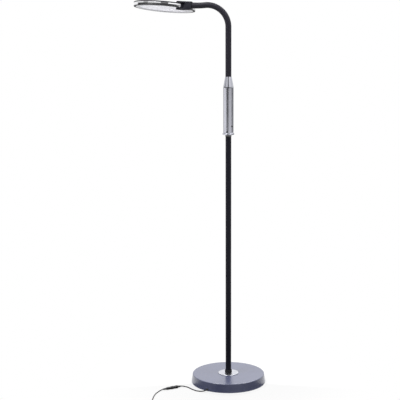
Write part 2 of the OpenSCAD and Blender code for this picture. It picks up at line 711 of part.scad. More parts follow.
module head_rim() color(bright) at_head() difference() {
    union() {
        translate([-arm, 0, 0]) {
            rotate([0, 0, 20]) rotate_extrude($fn = 240) polygon([[bezel_in, low],
                [head_r - 2, low], [head_r - 0.6, low + 0.6], [head_r, low + 2],
                [head_r, rim_top], [head_r - rim_wall, rim_top], [head_r - rim_wall, rest_z],
                [bezel_in, rest_z]]);
            translate([0, 0, low + bezel_t / 2]) at_pillars()
                cylinder(r = pillar_r, h = rim_top - low - bezel_t / 2, $fn = 32);
        }
        translate([0, 0, low + bezel_t / 2]) rotate([0, 0, 170])
            cylinder(r = boss_r, h = rim_top - low - bezel_t / 2, $fn = 48);
    }
    translate([-arm, 0, 0]) at_pillars() translate([0, 0, rest_z + 0.5])
        cylinder(r = cover_screw_r, h = head_t, $fn = 32);
    translate([0, 0, low - 1]) cylinder(r = pin_d / 2 + run_gap, h = head_t + 2, $fn = 48);
}

module head_cover() color(black_gloss) at_head() difference() {
    union() {
        translate([-arm, 0, 0]) {
            rotate_extrude($fn = 240) polygon([[0, high - cover_t],
                [head_r - rim_wall - 3, high - cover_t], [head_r - rim_wall - 3, rim_top],
                [head_r, rim_top], [head_r, high - 1.2], [head_r - 0.4, high - 0.4],
                [head_r - 1.4, high], [0, high]]);
            translate([0, 0, rim_top]) at_pillars() cylinder(r = pillar_r, h = cover_edge - 1,
                $fn = 32);
        }
        translate([0, 0, rim_top]) cylinder(r = boss_r, h = cover_edge - 1, $fn = 48);
    }
    translate([-arm, 0, 0]) at_pillars() {
        cylinder(r = cover_screw_r, h = head_t, $fn = 32);
        translate([0, 0, high - cover_head_t]) cylinder(r = cover_head_r, h = 3, $fn = 32);
    }
    cylinder(r = pin_d / 2 + 0.5, h = head_t, $fn = 48);
}

module cover_screws() color(steel) at_head() translate([-arm, 0, 0]) at_pillars() {
    translate([0, 0, rest_z + 1]) cylinder(r = cover_screw_r, h = high - cover_head_t - rest_z - 1,
        $fn = 32);
    translate([0, 0, high - cover_head_t]) cylinder(r = cover_head_r, h = cover_head_t, $fn = 32);
}

module led_board() color(opal) at_head() translate([-arm, 0, board_z])
    cylinder(r = board_r, h = board_t, $fn = 120);

module led_chips() color([0.95, 0.85, 0.4]) at_head() translate([-arm, 0, board_z - chip_t])
    for (row = [1 : 3], i = [0 : 8 * row - 1]) rotate([0, 0, 45 * i / row])
        translate([board_r * row * 0.3 - chip / 2, -chip / 2, 0]) cube([chip, chip, chip_t]);

module light_ring() color(opal) at_head() translate([-arm, 0, rest_z + diffuser_t])
    ring(diffuser_r, bezel_in, high - cover_t - rest_z - diffuser_t);

module diffuser() color(opal) at_head() translate([-arm, 0, rest_z])
    cylinder(r = diffuser_r, h = diffuser_t, $fn = 120);

// Cord, jack, plug, lead and adapter ----------------------------------------

// A point at t between points 1 and 2 of four, on a curve through all the points
function mid_curve(a, b, c, d, t) = 0.5 * (2 * b + (c - a) * t
    + (2 * a - 5 * b + 4 * c - d) * t * t + (3 * b - a - 3 * c + d) * t * t * t);

// The route with a point added in the middle of each span
function smooth(p) = let (n = len(p) - 1) concat([for (i = [0 : n - 1]) each [p[i],
    mid_curve(p[max(i - 1, 0)], p[i], p[i + 1], p[min(i + 2, n)], 0.5)]], [p[n]]);

function unit(v) = v / norm(v);
function heading(p, i) = unit(p[min(i + 1, len(p) - 1)] - p[max(i - 1, 0)]);
function side_of(t) = unit(cross(t, [0, 0, 1]));

// One closed tube of radius r along the points p, with eight sides
module tube(p, r) {
    n = len(p);
    k = 8;
    rings = [for (i = [0 : n - 1]) let (t = heading(p, i), s = side_of(t), u = cross(s, t))
        for (j = [0 : k - 1]) p[i] + r * (cos(45 * j + 22.5) * s + sin(45 * j + 22.5) * u)];
    faces = concat(
        [[for (j = [0 : k - 1]) j]],
        [for (i = [0 : n - 2], j = [0 : k - 1]) [k * i + j, k * (i + 1) + j,
            k * (i + 1) + (j + 1) % k, k * i + (j + 1) % k]],
        [[for (j = [k - 1 : -1 : 0]) k * (n - 1) + j]]);
    polyhedron(rings, faces, convexity = 4);
}

module lamp_cord() color(black_soft) tube(smooth(lamp_cord_points), cord_d / 2);

module along_jack() translate(jack_at) rotate([0, 0, jack_angle]) rotate([0, 90, 0]) children();

module lamp_jack() color(black_soft) along_jack() difference() {
    union() {
        cylinder(r1 = cord_d / 2 + 0.6, r2 = jack_r - 1.2, h = jack_relief, $fn = 32);
        translate([0, 0, jack_relief]) cylinder(r = jack_r, h = jack_body, $fn = 32);
    }
    translate([0, 0, jack_relief + jack_body - 10]) ring(3.2, 1, 11);
}

module adapter_plug() color(black_soft) along_jack() translate([0, 0, jack_relief + jack_body])
    union() {
        difference() {
            translate([0, 0, -9.5]) cylinder(r = 3.1, h = 10, $fn = 32);
            translate([0, 0, -9.6]) cylinder(r = 1.1, h = 9.65, $fn = 24);
        }
        translate([0, 0, 0.1]) cylinder(r = plug_r, h = plug_body, $fn = 32);
        translate([0, 0, plug_body]) cylinder(r1 = plug_r - 1, r2 = lead_d / 2 + 0.6,
            h = plug_relief, $fn = 32);
    }

module adapter_lead() color(black_soft) tube(smooth(adapter_lead_points), lead_d / 2);

module lead_coil() color(black_soft) translate([coil_at.x, coil_at.y, 0]) rotate_extrude()
    polygon([[coil_in + 1, tie_t], [coil_out - 1, tie_t], [coil_out, tie_t + 1],
        [coil_out, coil_top - 1], [coil_out - 1, coil_top], [coil_in + 1, coil_top],
        [coil_in, coil_top - 1], [coil_in, tie_t + 1]]);

module coil_tie() color(black_gloss) translate([coil_at.x, coil_at.y, 0])
    rotate([0, 0, tie_angle]) difference() {
        translate([coil_in - tie_gap - tie_t, -tie_w / 2, 0])
            cube([coil_out - coil_in + 2 * (tie_t + tie_gap), tie_w, coil_top + tie_t]);
        translate([coil_in - tie_gap, -tie_w, tie_t])
            cube([coil_out - coil_in + 2 * tie_gap, 2 * tie_w, coil_top - tie_t]);
    }

module lead_tail() color(black_soft) tube(smooth(lead_tail_points), lead_d / 2);

module adapter_case() color(black_soft) {
    translate([adapter_at.x, adapter_at.y, 0]) hull()
        for (x = [-1, 1], y = [-1, 1], z = [0, 1])
            translate([x * (adapter_size.x / 2 - adapter_round),
                y * (adapter_size.y / 2 - adapter_round),
                adapter_round + z * (adapter_size.z - 2 * adapter_round)])
                sphere(r = adapter_round, $fn = 24);
    translate([adapter_at.x - adapter_size.x / 2 - adapter_relief, adapter_at.y + 2, 13])
        rotate([0, 90, 0]) cylinder(r1 = lead_d / 2 + 0.5, r2 = adapter_relief_r,
            h = adapter_relief + 1, $fn = 32);
}

module adapter_pins() color(bright) for (side = [-1, 1])
    translate([adapter_at.x + side * prong_gap / 2, adapter_at.y - adapter_size.y / 2,
        adapter_size.z / 2]) rotate([90, 0, 0]) {
            translate([0, 0, 0.05]) cylinder(r = prong_r, h = prong_l - 1, $fn = 32);
            translate([0, 0, prong_l - 1]) cylinder(r1 = prong_r, r2 = prong_r - 0.8, h = 1,
                $fn = 32);
        }

base_pad();
base_plate();
base_weight();
base_cover();
base_screws();
cord_gland();
flange_seal();
flange_disc();
pole_collar();
collar_screw();
pole_nipple();
nipple_washer();
nipple_nut();
pole_foot();
pole_lower();
pole_coupler();
pole_upper();
pole_wire();
pole_bush();
handle_ring();
handle_sleeve();
handle_screw();
switch_body();
switch_button();
driver_carrier();
driver_board();
driver_parts();
neck_socket();
swivel_clip();
neck_root();
neck_link_1();
neck_link_2();
neck_link_3();
neck_link_4();
neck_link_5();
neck_link_6();
neck_link_7();
neck_link_8();
neck_link_9();
neck_end();
fork();
fork_screw();
pivot_pin();
pivot_washers();
head_rim();
head_cover();
cover_screws();
led_board();
led_chips();
light_ring();
diffuser();
lamp_cord();
lamp_jack();
adapter_plug();
adapter_lead();
lead_coil();
coil_tie();
lead_tail();
adapter_case();
adapter_pins();
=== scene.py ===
"""Gooseneck floor lamp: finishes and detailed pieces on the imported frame, laid out as a Blender add-on."""

import json
import math

import bmesh
import bpy
import numpy as np
from bpy.props import FloatProperty, FloatVectorProperty, IntProperty, PointerProperty
from mathutils import Matrix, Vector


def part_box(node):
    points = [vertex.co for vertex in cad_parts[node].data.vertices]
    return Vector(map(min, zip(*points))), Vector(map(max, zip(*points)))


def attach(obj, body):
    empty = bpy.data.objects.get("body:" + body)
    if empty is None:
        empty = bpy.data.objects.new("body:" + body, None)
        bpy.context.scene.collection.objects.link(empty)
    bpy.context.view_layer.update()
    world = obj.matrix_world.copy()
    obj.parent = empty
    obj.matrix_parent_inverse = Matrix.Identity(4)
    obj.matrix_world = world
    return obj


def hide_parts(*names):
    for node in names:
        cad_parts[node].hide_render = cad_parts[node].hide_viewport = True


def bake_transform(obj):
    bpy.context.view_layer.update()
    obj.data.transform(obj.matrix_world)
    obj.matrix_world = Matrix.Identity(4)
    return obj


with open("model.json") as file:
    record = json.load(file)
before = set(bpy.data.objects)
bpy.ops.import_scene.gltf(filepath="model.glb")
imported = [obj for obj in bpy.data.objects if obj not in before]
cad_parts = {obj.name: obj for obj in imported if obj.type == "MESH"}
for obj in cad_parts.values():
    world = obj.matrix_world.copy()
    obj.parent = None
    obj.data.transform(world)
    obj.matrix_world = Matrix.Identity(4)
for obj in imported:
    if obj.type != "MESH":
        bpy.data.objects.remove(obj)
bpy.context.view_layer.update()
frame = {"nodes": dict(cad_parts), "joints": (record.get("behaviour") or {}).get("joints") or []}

bl_info = {
    "name": "Gooseneck Floor Lamp",
    "version": (1, 0, 0),
    "blender": (4, 5, 0),
    "location": "3D View > Sidebar > Floor Lamp",
    "description": "Builds a floor lamp with a flexible neck and a flat round head",
    "category": "Add Mesh",
}

MM = 0.001
UP = np.array([0.0, 0.0, 1.0])


# Places, read from the frame ---------------------------------------------------


def unit(vector):
    """The vector at length 1."""
    return vector / np.linalg.norm(vector)


def corners(node):
    """Lowest and highest corner of a node, as arrays."""
    low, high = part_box(node)
    return np.array(low), np.array(high)


def spans(node):
    """A round node's radius, the height of its foot and the height of its top."""
    low, high = corners(node)
    return (high[0] - low[0]) / 2, low[2], high[2]


def joint(name):
    """The record's joint of that name."""
    return next(j for j in frame["joints"] if j["name"] == name)


def joint_at(name):
    """Where a joint is, as an array."""
    return np.array(joint(name)["pos_m"], float)


def joint_axis(name):
    """A joint's axis, as a unit array."""
    return unit(np.array(joint(name)["axis"], float))


def axes_frame(origin, z_axis, x_hint):
    """4x4 matrix with +Z along z_axis and +X as near x_hint as it can be."""
    z = unit(np.asarray(z_axis, float))
    x = unit(x_hint - np.dot(x_hint, z) * z)
    matrix = np.eye(4)
    matrix[:3, 0], matrix[:3, 1], matrix[:3, 2], matrix[:3, 3] = x, np.cross(z, x), z, origin
    return matrix


def upright():
    """Frame on the pole's axis, at the floor."""
    return np.eye(4)


def shifted(place, along_x, along_y, height=0.0):
    """A frame moved along its own axes."""
    moved = place.copy()
    moved[:3, 3] = place[:3, 3] + along_x * place[:3, 0] + along_y * place[:3, 1] + height * place[:3, 2]
    return moved


def head_frame():
    """Frame at the middle of the head's disc: +Z out of its top, +X towards the pivot pin."""
    low, high = corners("diffuser")
    normal = joint_axis("head_swivel")
    middle = (low + high) / 2
    pin = joint_at("head_swivel")
    middle = middle + np.dot(pin - middle, normal) * normal
    return axes_frame(middle, normal, pin - middle)


# Shapes: arrays of points with their faces ---------------------------------------


def grid(points, wrap_rows=False, wrap_columns=True, uv_size=(1.0, 1.0)):
    """Surface over a rows x columns array of points. Each face joins a point with its next row and next
    column, and the last row or column joins the first where it wraps."""
    rows, columns = points.shape[:2]
    i = np.arange(rows if wrap_rows else rows - 1)
    j = np.arange(columns if wrap_columns else columns - 1)
    i, j = (a.ravel() for a in np.meshgrid(i, j, indexing="ij"))
    i2, j2 = (i + 1) % rows, (j + 1) % columns
    faces = np.stack([i * columns + j, i * columns + j2, i2 * columns + j2, i2 * columns + j], 1)
    across, upward = uv_size
    u, v = across / max(columns, 1), upward / max(rows - 1, 1)
    turns = ((0, 0), (1, 0), (1, 1), (0, 1))
    corners_uv = np.stack([np.stack([(j + a) * u, (i + b) * v], 1) for a, b in turns], 1)
    return {"points": points.reshape(-1, 3), "faces": faces, "uv": corners_uv.reshape(-1, 2)}


def placed(shape, matrix):
    """The shape moved by a 4x4 matrix."""
    points = shape["points"] @ matrix[:3, :3].T + matrix[:3, 3]
    return {**shape, "points": points}


def outline(corner_list, closed=False, steps=6):
    """Polyline through corners (x, z, radius). A corner with a radius becomes an arc between its two
    tangent points, with a further point just outside each, so that flat parts stay flat when shaded."""
    count = len(corner_list)
    line = []
    for k, (x, z, radius) in enumerate(corner_list):
        here = np.array([x, z], float)
        if radius <= 0 or (not closed and k in (0, count - 1)):
            line.append(here)
            continue
        before = np.array(corner_list[k - 1][:2], float) - here
        after = np.array(corner_list[(k + 1) % count][:2], float) - here
        reach = min(np.linalg.norm(before), np.linalg.norm(after))
        before, after = unit(before), unit(after)
        half = math.acos(float(np.clip(before @ after, -1, 1))) / 2
        back = radius / math.tan(half)
        middle = here + unit(before + after) * radius / math.sin(half)
        turn = math.pi - 2 * half
        start = here + before * back - middle
        side = np.sign(start[0] * (after - before)[1] - start[1] * (after - before)[0])
        swing = side * turn * np.linspace(0, 1, steps + 1)
        cos, sin = np.cos(swing), np.sin(swing)
        arc = middle + np.stack([start[0] * cos - start[1] * sin, start[0] * sin + start[1] * cos], 1)
        spare = min(0.25 * radius, max(0.0, 0.45 * (reach - back)))
        if spare > 0:
            line.append(here + before * (back + spare))
        line.extend(arc)
        if spare > 0:
            line.append(here + after * (back + spare))
    return np.array(line)


def ring_line(inner, outer, low, high, low_edge=0.0, high_edge=0.0, steps=6):
    """Outline of a plain ring, with its outer edges rounded."""
    line = [(inner, low, 0), (outer, low, low_edge), (outer, high, high_edge), (inner, high, 0)]
    return outline(line, closed=True, steps=steps)


def revolve(profile, matrix, segments=96, closed=False):
    """Surface of revolution: each profile point (radius, height) runs round the matrix's Z axis. The
    height drives rows and the angle columns, and rows at radius 0 close in one point."""
    angle = np.linspace(0, 2 * math.pi, segments, endpoint=False)
    radius, height = profile[:, 0:1], profile[:, 1:2]
    points = np.stack([radius * np.cos(angle), radius * np.sin(angle), height + 0 * angle], -1)
    size = (2 * math.pi * float(np.max(profile[:, 0])), float(np.ptp(profile[:, 1])))
    return placed(grid(points, wrap_rows=closed, uv_size=size), matrix)


def carried(path, radii, segments=24, caps=True, start_at=0.0):
    """Round section carried along a path: at each point a circle of that point's radius stands across
    the path, in a frame that is turned on from the frame before by the least turn. The texture runs
    once round across and by length along, from start_at."""
    path = np.asarray(path, float)
    radii = np.broadcast_to(np.asarray(radii, float), (len(path),))
    tangent = np.gradient(path, axis=0)
    tangent /= np.linalg.norm(tangent, axis=1, keepdims=True)
    hint = np.array([0.0, 1.0, 0.0]) if abs(tangent[0][1]) < 0.9 else UP
    normals = [unit(np.cross(tangent[0], hint))]
    for t in tangent[1:]:
        normals.append(unit(normals[-1] - np.dot(normals[-1], t) * t))
    normals = np.array(normals)
    binormals = np.cross(tangent, normals)
    angle = np.linspace(0, 2 * math.pi, segments, endpoint=False)
    ring = normals[:, None] * np.cos(angle)[None, :, None]
    ring = ring + binormals[:, None] * np.sin(angle)[None, :, None]
    points = path[:, None] + ring * radii[:, None, None]
    length = np.concatenate([[0], np.cumsum(np.linalg.norm(np.diff(path, axis=0), axis=1))])
    if caps:
        points = np.concatenate([path[:1, None] + 0 * ring[:1], points, path[-1:, None] + 0 * ring[:1]])
        length = np.concatenate([[0], length, length[-1:]])
    shape = grid(points)
    columns = len(angle)
    row = np.repeat(np.arange(len(points) - 1), columns)
    column = np.tile(np.arange(columns), len(points) - 1)
    around = np.stack([column, column + 1, column + 1, column], 1) / columns
    along = start_at + np.stack([length[row], length[row], length[row + 1], length[row + 1]], 1)
    shape["uv"] = np.stack([around, along], -1).reshape(-1, 2)
    return shape


def soft_box(half, radius, matrix, steps=6, seam=0.0):
    """Box with round edges: the point of a small sphere in each direction, moved out to the nearest
    corner of the box that is smaller by the radius. A seam sinks a thin line round its middle."""
    quarter = np.linspace(0, math.pi / 2, steps + 1)
    rise = np.concatenate([-quarter[::-1], quarter])
    level = np.concatenate([-np.ones(steps + 1), np.ones(steps + 1)])
    turn = np.concatenate([quarter + k * math.pi / 2 for k in range(4)])
    quadrant = np.repeat(np.arange(4), steps + 1)
    sign_x = np.array([1, -1, -1, 1])[quadrant]
    sign_y = np.array([1, 1, -1, -1])[quadrant]
    inner = np.maximum(np.asarray(half) - radius, 0)
    x = radius * np.cos(rise)[:, None] * np.cos(turn) + sign_x * inner[0]
    y = radius * np.cos(rise)[:, None] * np.sin(turn) + sign_y * inner[1]
    z = radius * np.sin(rise)[:, None] + (level * inner[2])[:, None] + 0 * x
    points = np.stack([x, y, z], -1)
    if seam > 0:
        waist = points[steps : steps + 1] * [1, 1, 0]
        inward = 1 - seam / np.linalg.norm(waist[..., :2], axis=-1, keepdims=True)
        above, below = waist + [0, 0, seam], waist - [0, 0, seam]
        sunk = waist * inward
        points = np.concatenate([points[: steps + 1], below, sunk, above, points[steps + 1 :]])
    centre = np.zeros((1, points.shape[1], 3))
    foot, top = centre - [0, 0, half[2]], centre + [0, 0, half[2]]
    points = np.concatenate([foot, points, top])
    return placed(grid(points), matrix)


def linked(name, data):
    """A new object in the scene."""
    made = bpy.data.objects.new(name, data)
    bpy.context.collection.objects.link(made)
    return made


def build(name, shapes, material, sharp=32.0, closed=True):
    """One object from shapes, with its doubles merged, its normals outwards and its edges sharp where
    faces meet at more than the given angle in degrees."""
    offset, points, faces, uvs = 0, [], [], []
    for shape in shapes:
        points.append(shape["points"])
        faces.append(shape["faces"] + offset)
        uvs.append(shape["uv"])
        offset += len(shape["points"])
    mesh = bpy.data.meshes.new(name)
    mesh.from_pydata(np.concatenate(points), [], np.concatenate(faces))
    layer = mesh.uv_layers.new(name="UVMap")
    layer.data.foreach_set("uv", np.concatenate(uvs).astype(np.float32).ravel())
    work = bmesh.new()
    work.from_mesh(mesh)
    bmesh.ops.remove_doubles(work, verts=work.verts, dist=1e-6)
    bmesh.ops.dissolve_degenerate(work, edges=work.edges, dist=1e-7)
    if closed:
        bmesh.ops.recalc_face_normals(work, faces=work.faces)
    work.to_mesh(mesh)
    work.free()
    mesh.shade_smooth()
    mesh.set_sharp_from_angle(angle=math.radians(sharp))
    mesh.materials.append(material)
    return linked(name, mesh)


def turned(name, line, material, segments, place=None):
    """A piece from one closed outline, turned on the pole's axis or on another."""
    shape = revolve(line, upright() if place is None else place, segments, closed=True)
    return build(name, [shape], material)


def copied(node, name, material, bevel, sharp=30.0):
    """A copy of a CAD node with its doubles merged, its flat faces made whole and its edges rounded."""
    mesh = frame["nodes"][node].data.copy()
    mesh.name = name
    mesh.materials.clear()
    mesh.materials.append(material)
    work = bmesh.new()
    work.from_mesh(mesh)
    bmesh.ops.remove_doubles(work, verts=work.verts, dist=2e-6)
    bmesh.ops.dissolve_limit(work, angle_limit=math.radians(0.6), verts=work.verts, edges=work.edges)
    work.to_mesh(mesh)
    work.free()
    piece = linked(name, mesh)
    rounding = piece.modifiers.new("Edges", "BEVEL")
    rounding.width = bevel
    rounding.segments = 3
    rounding.limit_method = "ANGLE"
    rounding.angle_limit = math.radians(sharp)
    rounding.harden_normals = True
    mesh.shade_smooth()
    return piece


def set_piece(piece, body, slot, *nodes):
    """Lets a piece ride on a body and stand for CAD nodes, which it hides. The slot is not used."""
    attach(piece, body)
    if nodes:
        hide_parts(*nodes)
    return piece


# Shared surface effects, each a node group ---------------------------------------


def feed(tree, node, inputs):
    """Gives a node's inputs their values. A value that is another node's output gets linked."""
    for key, value in inputs.items():
        if isinstance(value, bpy.types.NodeSocket):
            tree.links.new(value, node.inputs[key])
        else:
            node.inputs[key].default_value = value


def add(tree, kind, inputs, **settings):
    """A new node with its settings and its inputs."""
    node = tree.nodes.new(kind)
    for name, value in settings.items():
        setattr(node, name, value)
    feed(tree, node, inputs)
    return node


def calculate(tree, operation, *values):
    """The result of a maths node."""
    return add(tree, "ShaderNodeMath", dict(enumerate(values)), operation=operation).outputs["Value"]


def noise(tree, vector, scale, detail):
    """Noise texture on a vector."""
    inputs = {"Vector": vector, "Scale": scale, "Detail": detail}
    return add(tree, "ShaderNodeTexNoise", inputs).outputs["Fac"]


def spread(tree, value, low, high):
    """Maps a noise from its middle range to low at the least and high at the most."""
    inputs = {"Value": value, "From Min": 0.3, "From Max": 0.7, "To Min": low, "To Max": high}
    return add(tree, "ShaderNodeMapRange", inputs).outputs["Result"]


def group(name, outputs, **numbers):
    """An empty node group that takes a vector and numbers, with the sockets that it takes in."""
    tree = bpy.data.node_groups.new(name, "ShaderNodeTree")
    tree.interface.new_socket("Vector", in_out="INPUT", socket_type="NodeSocketVector")
    for key, value in numbers.items():
        key = key.replace("_", " ")
        made = tree.interface.new_socket(key, in_out="INPUT", socket_type="NodeSocketFloat")
        made.default_value = value
    for key in outputs:
        tree.interface.new_socket(key, in_out="OUTPUT", socket_type="NodeSocketFloat")
    return tree, tree.nodes.new("NodeGroupInput").outputs


def make_grain():
    """Fine grain: noise at one scale for the height and a coarser noise for the tone."""
    tree, given = group("Fine grain", ("Height", "Tone"), Scale=2500.0, Darkest=0.95, Lightest=1.05)
    height = noise(tree, given["Vector"], given["Scale"], 2.0)
    slow = noise(tree, given["Vector"], 14.0, 4.0)
    tone = spread(tree, slow, given["Darkest"], given["Lightest"])
    add(tree, "NodeGroupOutput", {"Height": height, "Tone": tone})
    return tree


def make_smears():
    """Soft smears: slow noise that moves the roughness between two values, as handling does."""
    tree, given = group("Soft smears", ("Roughness",), Scale=30.0, Low=0.2, High=0.3)
    slow = noise(tree, given["Vector"], given["Scale"], 5.0)
    add(tree, "NodeGroupOutput", {"Roughness": spread(tree, slow, given["Low"], given["High"])})
    return tree


def make_drawn_lines():
    """Drawn lines: noise stretched along Z, so that it reads as hair lines along a tube."""
    tree, given = group("Drawn lines", ("Height",), Scale=900.0)
    longer = add(tree, "ShaderNodeMapping", {"Vector": given["Vector"], "Scale": (1.0, 1.0, 0.02)})
    lines = noise(tree, longer.outputs["Vector"], given["Scale"], 3.0)
    add(tree, "NodeGroupOutput", {"Height": lines})
    return tree


def make_turned_lines():
    """Turned lines: noise on the distance from the axis, as fine rings left by a lathe."""
    tree, given = group("Turned lines", ("Height",), Scale=900.0)
    flat = add(tree, "ShaderNodeVectorMath", {0: given["Vector"], 1: (1.0, 1.0, 0.0)}, operation="MULTIPLY")
    length = add(tree, "ShaderNodeVectorMath", {0: flat.outputs["Vector"]}, operation="LENGTH")
    inputs = {"W": length.outputs["Value"], "Scale": given["Scale"], "Detail": 3.0}
    rings = add(tree, "ShaderNodeTexNoise", inputs, noise_dimensions="1D")
    add(tree, "NodeGroupOutput", {"Height": rings.outputs["Fac"]})
    return tree


def make_ridges():
    """Ridges: a rounded wave along the texture's V, with a number of waves for each metre."""
    tree, given = group("Ridges", ("Height",), Per_metre=500.0)
    split = add(tree, "ShaderNodeSeparateXYZ", {"Vector": given["Vector"]})
    count = calculate(tree, "MULTIPLY", split.outputs["Y"], given["Per metre"])
    inputs = {"Value": calculate(tree, "PINGPONG", count, 0.5), "From Max": 0.5}
    wave = add(tree, "ShaderNodeMapRange", inputs, interpolation_type="SMOOTHERSTEP")
    add(tree, "NodeGroupOutput", {"Height": wave.outputs["Result"]})
    return tree


GROUPS = {
    "grain": make_grain(),
    "smears": make_smears(),
    "drawn": make_drawn_lines(),
    "turned": make_turned_lines(),
    "ridges": make_ridges(),
}


# Finishes of this lamp -------------------------------------------------------------

# Each finish has its colour or the colour setting's name; its grain, as scale, height in metres, darkest
# and lightest tone; its smears, as scale, least and most roughness; and where it has lines, their effect,
# scale and height in metres. What starts with a capital is an input of the shader.
GLOSS = dict(
    colour=(0.012, 0.012, 0.014), grain=(900.0, 4e-6, 0.9, 1.1), smears=(45.0, 0.10, 0.18),
    Coat_Weight=0.4, Coat_Roughness=0.08,
)
SATIN = dict(
    colour=(0.011, 0.011, 0.017), grain=(1100.0, 8e-6, 0.9, 1.1), smears=(50.0, 0.45, 0.55),
    Specular_IOR_Level=0.15,
)
MOULDED = dict(colour="cord", grain=(2200.0, 3e-5, 0.92, 1.08), smears=(60.0, 0.42, 0.55))
FINISHES = {
    "base enamel": dict(
        colour="base", grain=(420.0, 1e-5, 0.96, 1.04), smears=(22.0, 0.30, 0.38),
        Coat_Weight=0.8, Coat_Roughness=0.24,
    ),
    "pole enamel": dict(
        colour="pole", grain=(700.0, 1e-5, 0.94, 1.06), smears=(40.0, 0.32, 0.42), Specular_IOR_Level=0.12,
    ),
    "bright disc": dict(
        colour="disc", lines=("turned", 2200.0, 1e-5), smears=(60.0, 0.24, 0.32), Metallic=1.0,
    ),
    "collar black": dict(
        colour=(0.015, 0.015, 0.018), grain=(2600.0, 8e-6, 0.9, 1.1), smears=(90.0, 0.3, 0.42), Metallic=0.6,
    ),
    "handle silver": dict(
        colour="handle", lines=("drawn", 1500.0, 8e-6), grain=(3000.0, 0.0, 0.97, 1.03),
        smears=(50.0, 0.16, 0.20), Metallic=1.0,
    ),
    "neck sleeve": dict(colour="neck", smears=(80.0, 0.42, 0.52), Specular_IOR_Level=0.15),
    "polished rim": dict(
        colour="rim", grain=(1200.0, 2e-6, 0.98, 1.01), smears=(35.0, 0.07, 0.11), Metallic=1.0,
    ),
    "satin underside": dict(
        colour="bezel", grain=(1600.0, 6e-6, 0.97, 1.03), smears=(45.0, 0.28, 0.36), Metallic=1.0,
    ),
    "opal diffuser": dict(
        colour="opal", grain=(3000.0, 4e-6, 0.99, 1.01), smears=(30.0, 0.38, 0.46),
        Subsurface_Weight=0.2, Subsurface_Radius=(0.004, 0.004, 0.004), Subsurface_Scale=1.0,
    ),
    "cord sheath": dict(
        colour="cord", lines=("ridges", 90.0, 2e-5), smears=(60.0, 0.4, 0.5), Specular_IOR_Level=0.2,
    ),
    "switch plastic": GLOSS,
    "bush black": GLOSS,
    "button black": GLOSS,
    "tie black": dict(GLOSS, smears=(45.0, 0.3, 0.4)),
    "screw black": SATIN,
    "fork black": SATIN,
    # Edge of the head's flat ring: a painted dark reflection, standing for the polished edge mirroring dark
    # surroundings.
    "edge black": dict(SATIN, smears=(50.0, 0.5, 0.6)),
    "lid black": dict(SATIN, smears=(50.0, 0.3, 0.4)),
    "gland": MOULDED,
    "connector plastic": MOULDED,
    "adapter plastic": MOULDED,
    "white moulding": dict(
        colour=(0.8, 0.8, 0.79), grain=(1900.0, 1e-5, 0.97, 1.03), smears=(40.0, 0.35, 0.5),
    ),
    "dark foam": dict(
        colour=(0.02, 0.02, 0.022), grain=(1400.0, 1e-4, 0.8, 1.2), smears=(80.0, 0.8, 0.95),
    ),
    "circuit lacquer": dict(
        colour=(0.02, 0.16, 0.06), grain=(900.0, 1e-5, 0.85, 1.15), smears=(60.0, 0.25, 0.4),
    ),
    "diode lens": dict(
        colour=(0.85, 0.6, 0.12), grain=(2500.0, 1e-5, 0.9, 1.1), smears=(100.0, 0.2, 0.3),
    ),
    "cast iron": dict(
        colour=(0.05, 0.05, 0.053), grain=(500.0, 2e-4, 0.8, 1.2), smears=(60.0, 0.6, 0.8), Metallic=0.4,
    ),
    "turned steel": dict(
        colour=(0.52, 0.52, 0.53), grain=(1800.0, 1e-5, 0.92, 1.05), smears=(90.0, 0.25, 0.4), Metallic=1.0,
    ),
    "plated pins": dict(
        colour=(0.78, 0.74, 0.66), grain=(1500.0, 6e-6, 0.95, 1.03), smears=(80.0, 0.15, 0.25), Metallic=1.0,
    ),
}


def surface(name, colour, smears, grain=None, lines=None, **shader):
    """A finish's material. Ridges follow the texture's length; all else lies in object space. The grain
    moves the colour's tone and the smears the roughness."""
    material = bpy.data.materials.new(name)
    material.use_nodes = True
    tree = material.node_tree
    principled = tree.nodes["Principled BSDF"]
    space = "UV" if lines and lines[0] == "ridges" else "Object"
    vector = tree.nodes.new("ShaderNodeTexCoord").outputs[space]
    colour = tuple(colour[:3])
    feed(tree, principled, {"Base Color": (*colour, 1.0)})
    feed(tree, principled, {key.replace("_", " "): value for key, value in shader.items()})

    def effect(key, *values):
        inputs = dict(enumerate((vector, *values)))
        return add(tree, "ShaderNodeGroup", inputs, node_tree=GROUPS[key]).outputs

    def bump(height, distance):
        made = add(tree, "ShaderNodeBump", {"Height": height, "Distance": distance, "Strength": 1.0})
        feed(tree, principled, {"Normal": made.outputs["Normal"]})

    if lines:
        kind, scale, distance = lines
        bump(effect(kind, scale)["Height"], distance)
    if grain:
        scale, distance, darkest, lightest = grain
        made = effect("grain", scale, darkest, lightest)
        if distance:
            bump(made["Height"], distance)
        tone = add(tree, "ShaderNodeVectorMath", {0: colour, "Scale": made["Tone"]}, operation="SCALE")
        feed(tree, principled, {"Base Color": tone.outputs["Vector"]})
    feed(tree, principled, {"Roughness": effect("smears", *smears)["Roughness"]})
    return material


def finish(name, **changes):
    """One of the finishes as a material, with its colour from the settings where it names one."""
    values = {**FINISHES[name], **changes}
    if isinstance(values["colour"], str):
        values["colour"] = getattr(bpy.context.scene.lamp_colours, values["colour"])
    return surface(name, **values)


def repaint(name, slot, *nodes):
    """Gives CAD nodes that stay in sight as they are a finish. The slot is not used."""
    material = finish(name)
    for key in nodes:
        node = frame["nodes"][key]
        for holder in node.material_slots:
            holder.material = material


# Settings a user may change ---------------------------------------------------------


def tint(name, description, default):
    """A colour setting."""
    return FloatVectorProperty(
        name=name, description=description, subtype="COLOR", size=3, min=0.0, max=1.0, default=default
    )


def length(name, description, least, most, default):
    """A setting in metres."""
    return FloatProperty(
        name=name, description=description, subtype="DISTANCE", unit="LENGTH", min=least, max=most,
        default=default,
    )


def count(name, description, least, most, default):
    """A setting that is a whole number."""
    return IntProperty(name=name, description=description, min=least, max=most, default=default)


